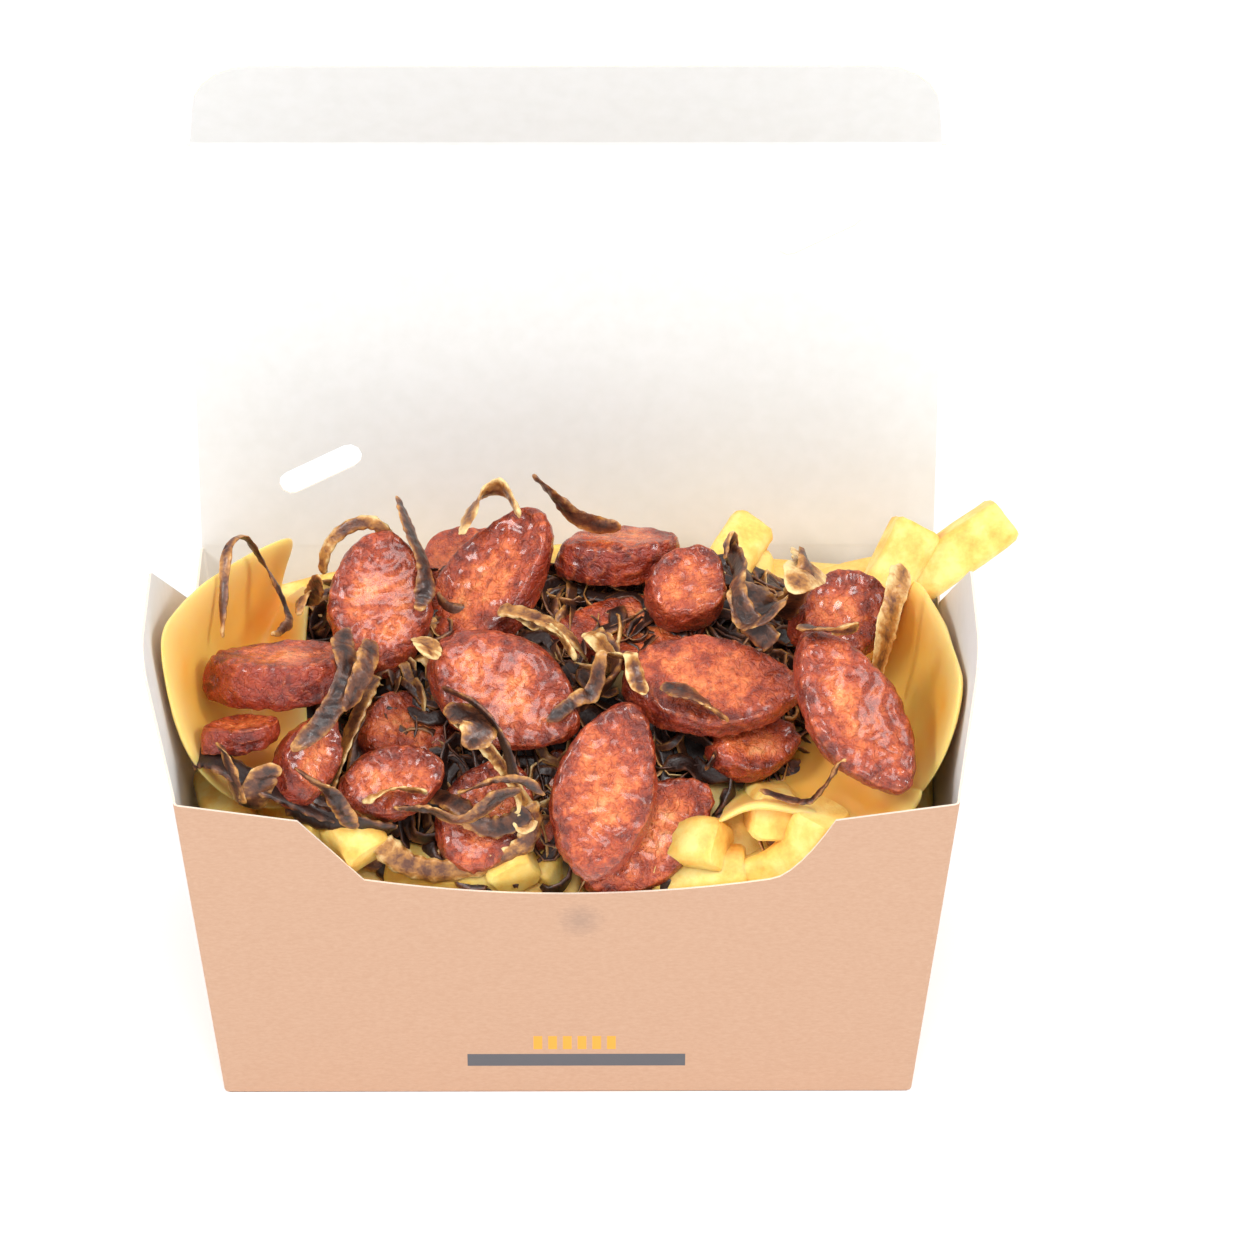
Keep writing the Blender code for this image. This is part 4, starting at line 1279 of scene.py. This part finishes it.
@dataclass
class FriedOnions:
    """Fried slivers of onion on the heap, and the small ones that fill its gaps."""

    heap: Heap
    count: int = 27
    crumbs: int = 560
    curls: int = 70
    seed: int = 23
    points: int = 9
    field_x: tuple[float, float] = (-62.0, 60.0)
    field_y: tuple[float, float] = (-46.0, 36.0)
    limit_x: tuple[float, float] = (-70.0, 70.0)
    limit_y: tuple[float, float] = (-46.0, 40.0)
    tones: tuple[float, ...] = (-0.25, -0.22, -0.18, -0.14, -0.06, 0.08)
    golden: tuple[int, ...] = (3, 9, 11, 13, 14, 17, 18, 20, 23, 25)

    # Curled ribbons that lie between the slices: width, tone, and places in millimetres
    ribbons: tuple[tuple[float, float, tuple[Place, ...]], ...] = (
        (6.4, 0.12, ((-9, -44, 87), (-8, -45, 80), (-12, -46, 74), (-20, -47, 71.5), (-30, -46, 69),
                     (-38, -46, 71), (-43, -46, 78))),
        (6.0, -0.2, ((-86, -40, 97), (-82, -41, 99), (-77, -45, 98), (-70, -46, 94), (-64, -45, 90),
                     (-58, -44, 85), (-53, -42, 82))),
        (5.5, -0.2, ((-64, -44, 88), (-58, -44, 83), (-51, -45, 83), (-45, -45, 81), (-40, -43, 79))),
        (4.5, -0.1, ((-68, -41, 92), (-63, -40, 87), (-58, -39, 83), (-50, -39, 83))),
        (4.4, 0.12, ((-55, -40, 86), (-54, -34, 87), (-52, -28, 91), (-49, -22, 96), (-47, -17, 99),
                     (-45, -12, 101))),
        (3.8, -0.15, ((-28, -22, 104), (-24, -29, 107), (-20, -33, 107), (-16, -37, 104), (-13, -40, 98),
                      (-12, -43, 93))),
        (5.0, -0.08, ((-36, -32, 84), (-30, -38, 85), (-25, -44, 87), (-20, -46, 82), (-14, -46, 82),
                      (-9, -46, 87))),
        (4.5, 0.15, ((-16, -1, 112), (-9, -4, 113), (-3, -9, 113), (2, -14, 112), (4, -10, 105))),
        (5.5, 0.0, ((6, -3, 106), (11, -8, 105), (12, -14, 103), (8, -20, 102), (2, -26, 102))),
        (6.0, -0.08, ((38, 12, 120), (41, 2, 122), (39, -8, 122), (42, -13, 117), (48, -17, 113))),
        (6.5, -0.05, ((56, 6, 122), (56, -4, 125), (53, 0, 114), (50, 5, 106))),
        (5.0, -0.2, ((27, -20, 90), (32, -24, 91), (35, -28, 89), (33, -32, 90))),
        (3.4, 0.15, ((-58, 14, 112), (-57, 15, 119), (-52, 16, 124), (-46, 16, 126), (-42, 15, 122))),
    )

    def __post_init__(self) -> None:
        """Builds the finish."""
        self.material = FriedOnion("fried_onion").build()

    def sliver(self, number: int) -> None:
        """Dresses one sliver.

        Args:
            number: Number of the solid.
        """
        node = f"onion_{number:02d}"
        mesh = merged_copy(node)
        paint(mesh, "rim", np.clip(1.6 * bulge(mesh), 0, 1))
        mesh = subdivided(mesh)
        points, normals = points_of(mesh), normals_of(mesh)
        spread = points - points.mean(0)
        along = spread @ np.linalg.svd(spread, full_matrices=False)[2][0]
        ribs = np.sin(math.tau * along / (2.6 * MM) + 5 * noise_at(points, 6 * MM, number + 9.0))
        ribs *= 0.13 * np.clip(0.6 + 1.5 * noise_at(points, 8 * MM, number + 2.0), 0, 1)
        shift = 0.5 * noise_at(points, 3.6 * MM, number) + 0.2 * noise_at(points, 1.5 * MM, number + 5.0)
        set_points(mesh, points + normals * (shift + ribs)[:, None] * MM)
        rim = np.zeros(len(mesh.vertices), np.float32)
        mesh.attributes["rim"].data.foreach_get("value", rim)
        paint(mesh, "crest", np.clip(0.75 * rim + 0.6 * bulge(mesh), 0, 1))
        paint(mesh, "tone", np.full(len(mesh.vertices), 0.1 if number in self.golden else -0.16))
        add_piece(f"{node}_sliver", mesh, "carton", [self.material], [node])

    def fill(self) -> None:
        """Lays small dark slivers over the core, in the gaps between the slices."""
        rng = random.Random(self.seed)
        strands = []
        while len(strands) < self.crumbs + self.curls:
            curl = len(strands) < self.curls
            x, y = rng.uniform(*self.field_x), rng.uniform(*self.field_y)
            if rng.random() > self.heap.onion_and_shade_at(x, y) + 0.03:
                continue
            heading, bow = rng.uniform(0, math.tau), rng.uniform(0.2, 0.65) * rng.choice((-1, 1))
            step = rng.uniform(1.6, 2.8) if curl else rng.uniform(1.2, 3.2)
            lift, arch = rng.uniform(0.2, 3.4), rng.uniform(0.2, 4.0 if curl else 2.4)
            path, clear = [], True
            for k in range(self.points):
                x = max(min(x, self.limit_x[1]), self.limit_x[0])
                y = max(min(y, self.limit_y[1]), self.limit_y[0])
                hump = arch * math.sin(math.pi * k / (self.points - 1))
                z = self.heap.top(x, y) + lift + hump + rng.uniform(-0.4, 0.4)
                clear = clear and self.heap.slice_over(x, y) is None
                path.append(Vector((x, y, z)))
                heading += bow + rng.uniform(-0.35, 0.35)
                x += step * math.cos(heading)
                y += step * math.sin(heading)
            if curl and not clear:
                continue
            strands.append(Strand(path, rng.uniform(3.4, 6.6) if curl else rng.uniform(1.6, 4.8),
                                  rng.uniform(-1.3, 1.3), rng.uniform(-2.4, 2.4),
                                  rng.choice(self.tones), (0.3, 0.3)))
        for k, (width, tone, places) in enumerate(self.ribbons):
            strands.append(Strand(smooth_route(places), width, 0.5 * k, 1.1 * (-1) ** k, tone,
                                  (0.4, 0.4), ribs=0.1))
        mesh = StrandMaker(StrandShape.SLIVER, self.material).sweep(strands)
        displaced(mesh, (0.25, 2.2, 8.0), (0.3, 5, 3.0))
        paint(mesh, "crest", np.clip(0.9 * bulge(mesh), 0, 1))
        add_piece("onion_bits", mesh, "carton", [self.material])

    def build(self) -> None:
        """Dresses every sliver and fills the gaps."""
        for number in range(1, self.count + 1):
            self.sliver(number)
        self.fill()


# Camera, floor and light


@dataclass
class Studio:
    """Pale sweep, soft light and a camera at the photograph's viewing angle.

    The camera's place, lens and sensor are in millimetres and its angles in degrees. A lamp is
    its place and side in metres and its power in watts, and it is aimed at the food.
    """

    place: Place = (4.816, -1001.976, 803.685)
    pitch: float = 34.875
    yaw: float = -0.572
    roll: float = 0.243
    lens: float = 148.19
    sensor: float = 36.0
    floor_half: float = 4.0
    sky: str = "#FAFCFF"
    sky_strength: float = 0.76
    aim: Place = (0.0, 0.0, 0.09)
    lamps: tuple[tuple[str, Place, float, float], ...] = (
        ("key_light", (0.05, -0.75, 1.2), 0.45, 5.65),
        ("left_light", (-0.9, -0.45, 0.95), 0.35, 8.0),
        ("right_light", (0.9, -0.45, 0.95), 0.35, 7.8),
    )

    def camera(self) -> None:
        """Sets the camera from its place and three angles."""
        data = bpy.data.cameras.new("photo_camera")
        data.sensor_width = self.sensor
        data.lens = self.lens
        data.clip_start, data.clip_end = 0.01, 20.0
        camera = link("photo_camera", data)
        pitch, yaw, roll = (math.radians(a) for a in (self.pitch, self.yaw, self.roll))
        side = Vector((math.cos(yaw), math.sin(yaw), 0))
        level = Vector((-math.sin(yaw), math.cos(yaw), 0))
        ahead = level * math.cos(pitch) - Vector((0, 0, math.sin(pitch)))
        up = side.cross(ahead)
        right = side * math.cos(roll) + up * math.sin(roll)
        top = up * math.cos(roll) - side * math.sin(roll)
        turn = Matrix((right, top, -ahead)).transposed().to_4x4()
        camera.matrix_world = Matrix.Translation(Vector(self.place) * MM) @ turn
        bpy.context.scene.camera = camera

    def floor(self) -> None:
        """Adds the plain floor."""
        half = self.floor_half
        mesh = bpy.data.meshes.new("floor")
        mesh.from_pydata([(-half, -half, 0), (half, -half, 0), (half, half, 0), (-half, half, 0)], [],
                         [(0, 1, 2, 3)])
        mesh.materials.append(PaleFloor("matte_white_paint").build())
        link("floor", mesh)

    def light(self) -> None:
        """Adds the sky and the square soft lights."""
        world = bpy.data.worlds.new("soft_white")
        world.use_nodes = True
        background = world.node_tree.nodes["Background"]
        background.inputs["Color"].default_value = linear(self.sky)
        background.inputs["Strength"].default_value = self.sky_strength
        bpy.context.scene.world = world
        for name, place, size, power in self.lamps:
            data = bpy.data.lights.new(name, "AREA")
            data.size = size
            data.energy = power
            lamp = link(name, data)
            lamp.location = place
            lamp.rotation_euler = (Vector(self.aim) - Vector(place)).to_track_quat("-Z", "Y").to_euler()

    def build(self) -> None:
        """Adds the camera, the floor and the light."""
        self.camera()
        self.floor()
        self.light()
        bpy.context.scene.view_settings.view_transform = "Standard"


def main() -> None:
    """Builds every part of the scene."""
    logging.basicConfig(level=logging.INFO, format="%(name)s %(message)s")
    heap = Heap()
    for part in (Studio(), Carton(), heap, CheeseSlices(), SausageSlices(), FriedOnions(heap)):
        part.build()
        LOG.info("%s in place", type(part).__name__)
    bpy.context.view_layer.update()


if __name__ == "__main__":
    main()
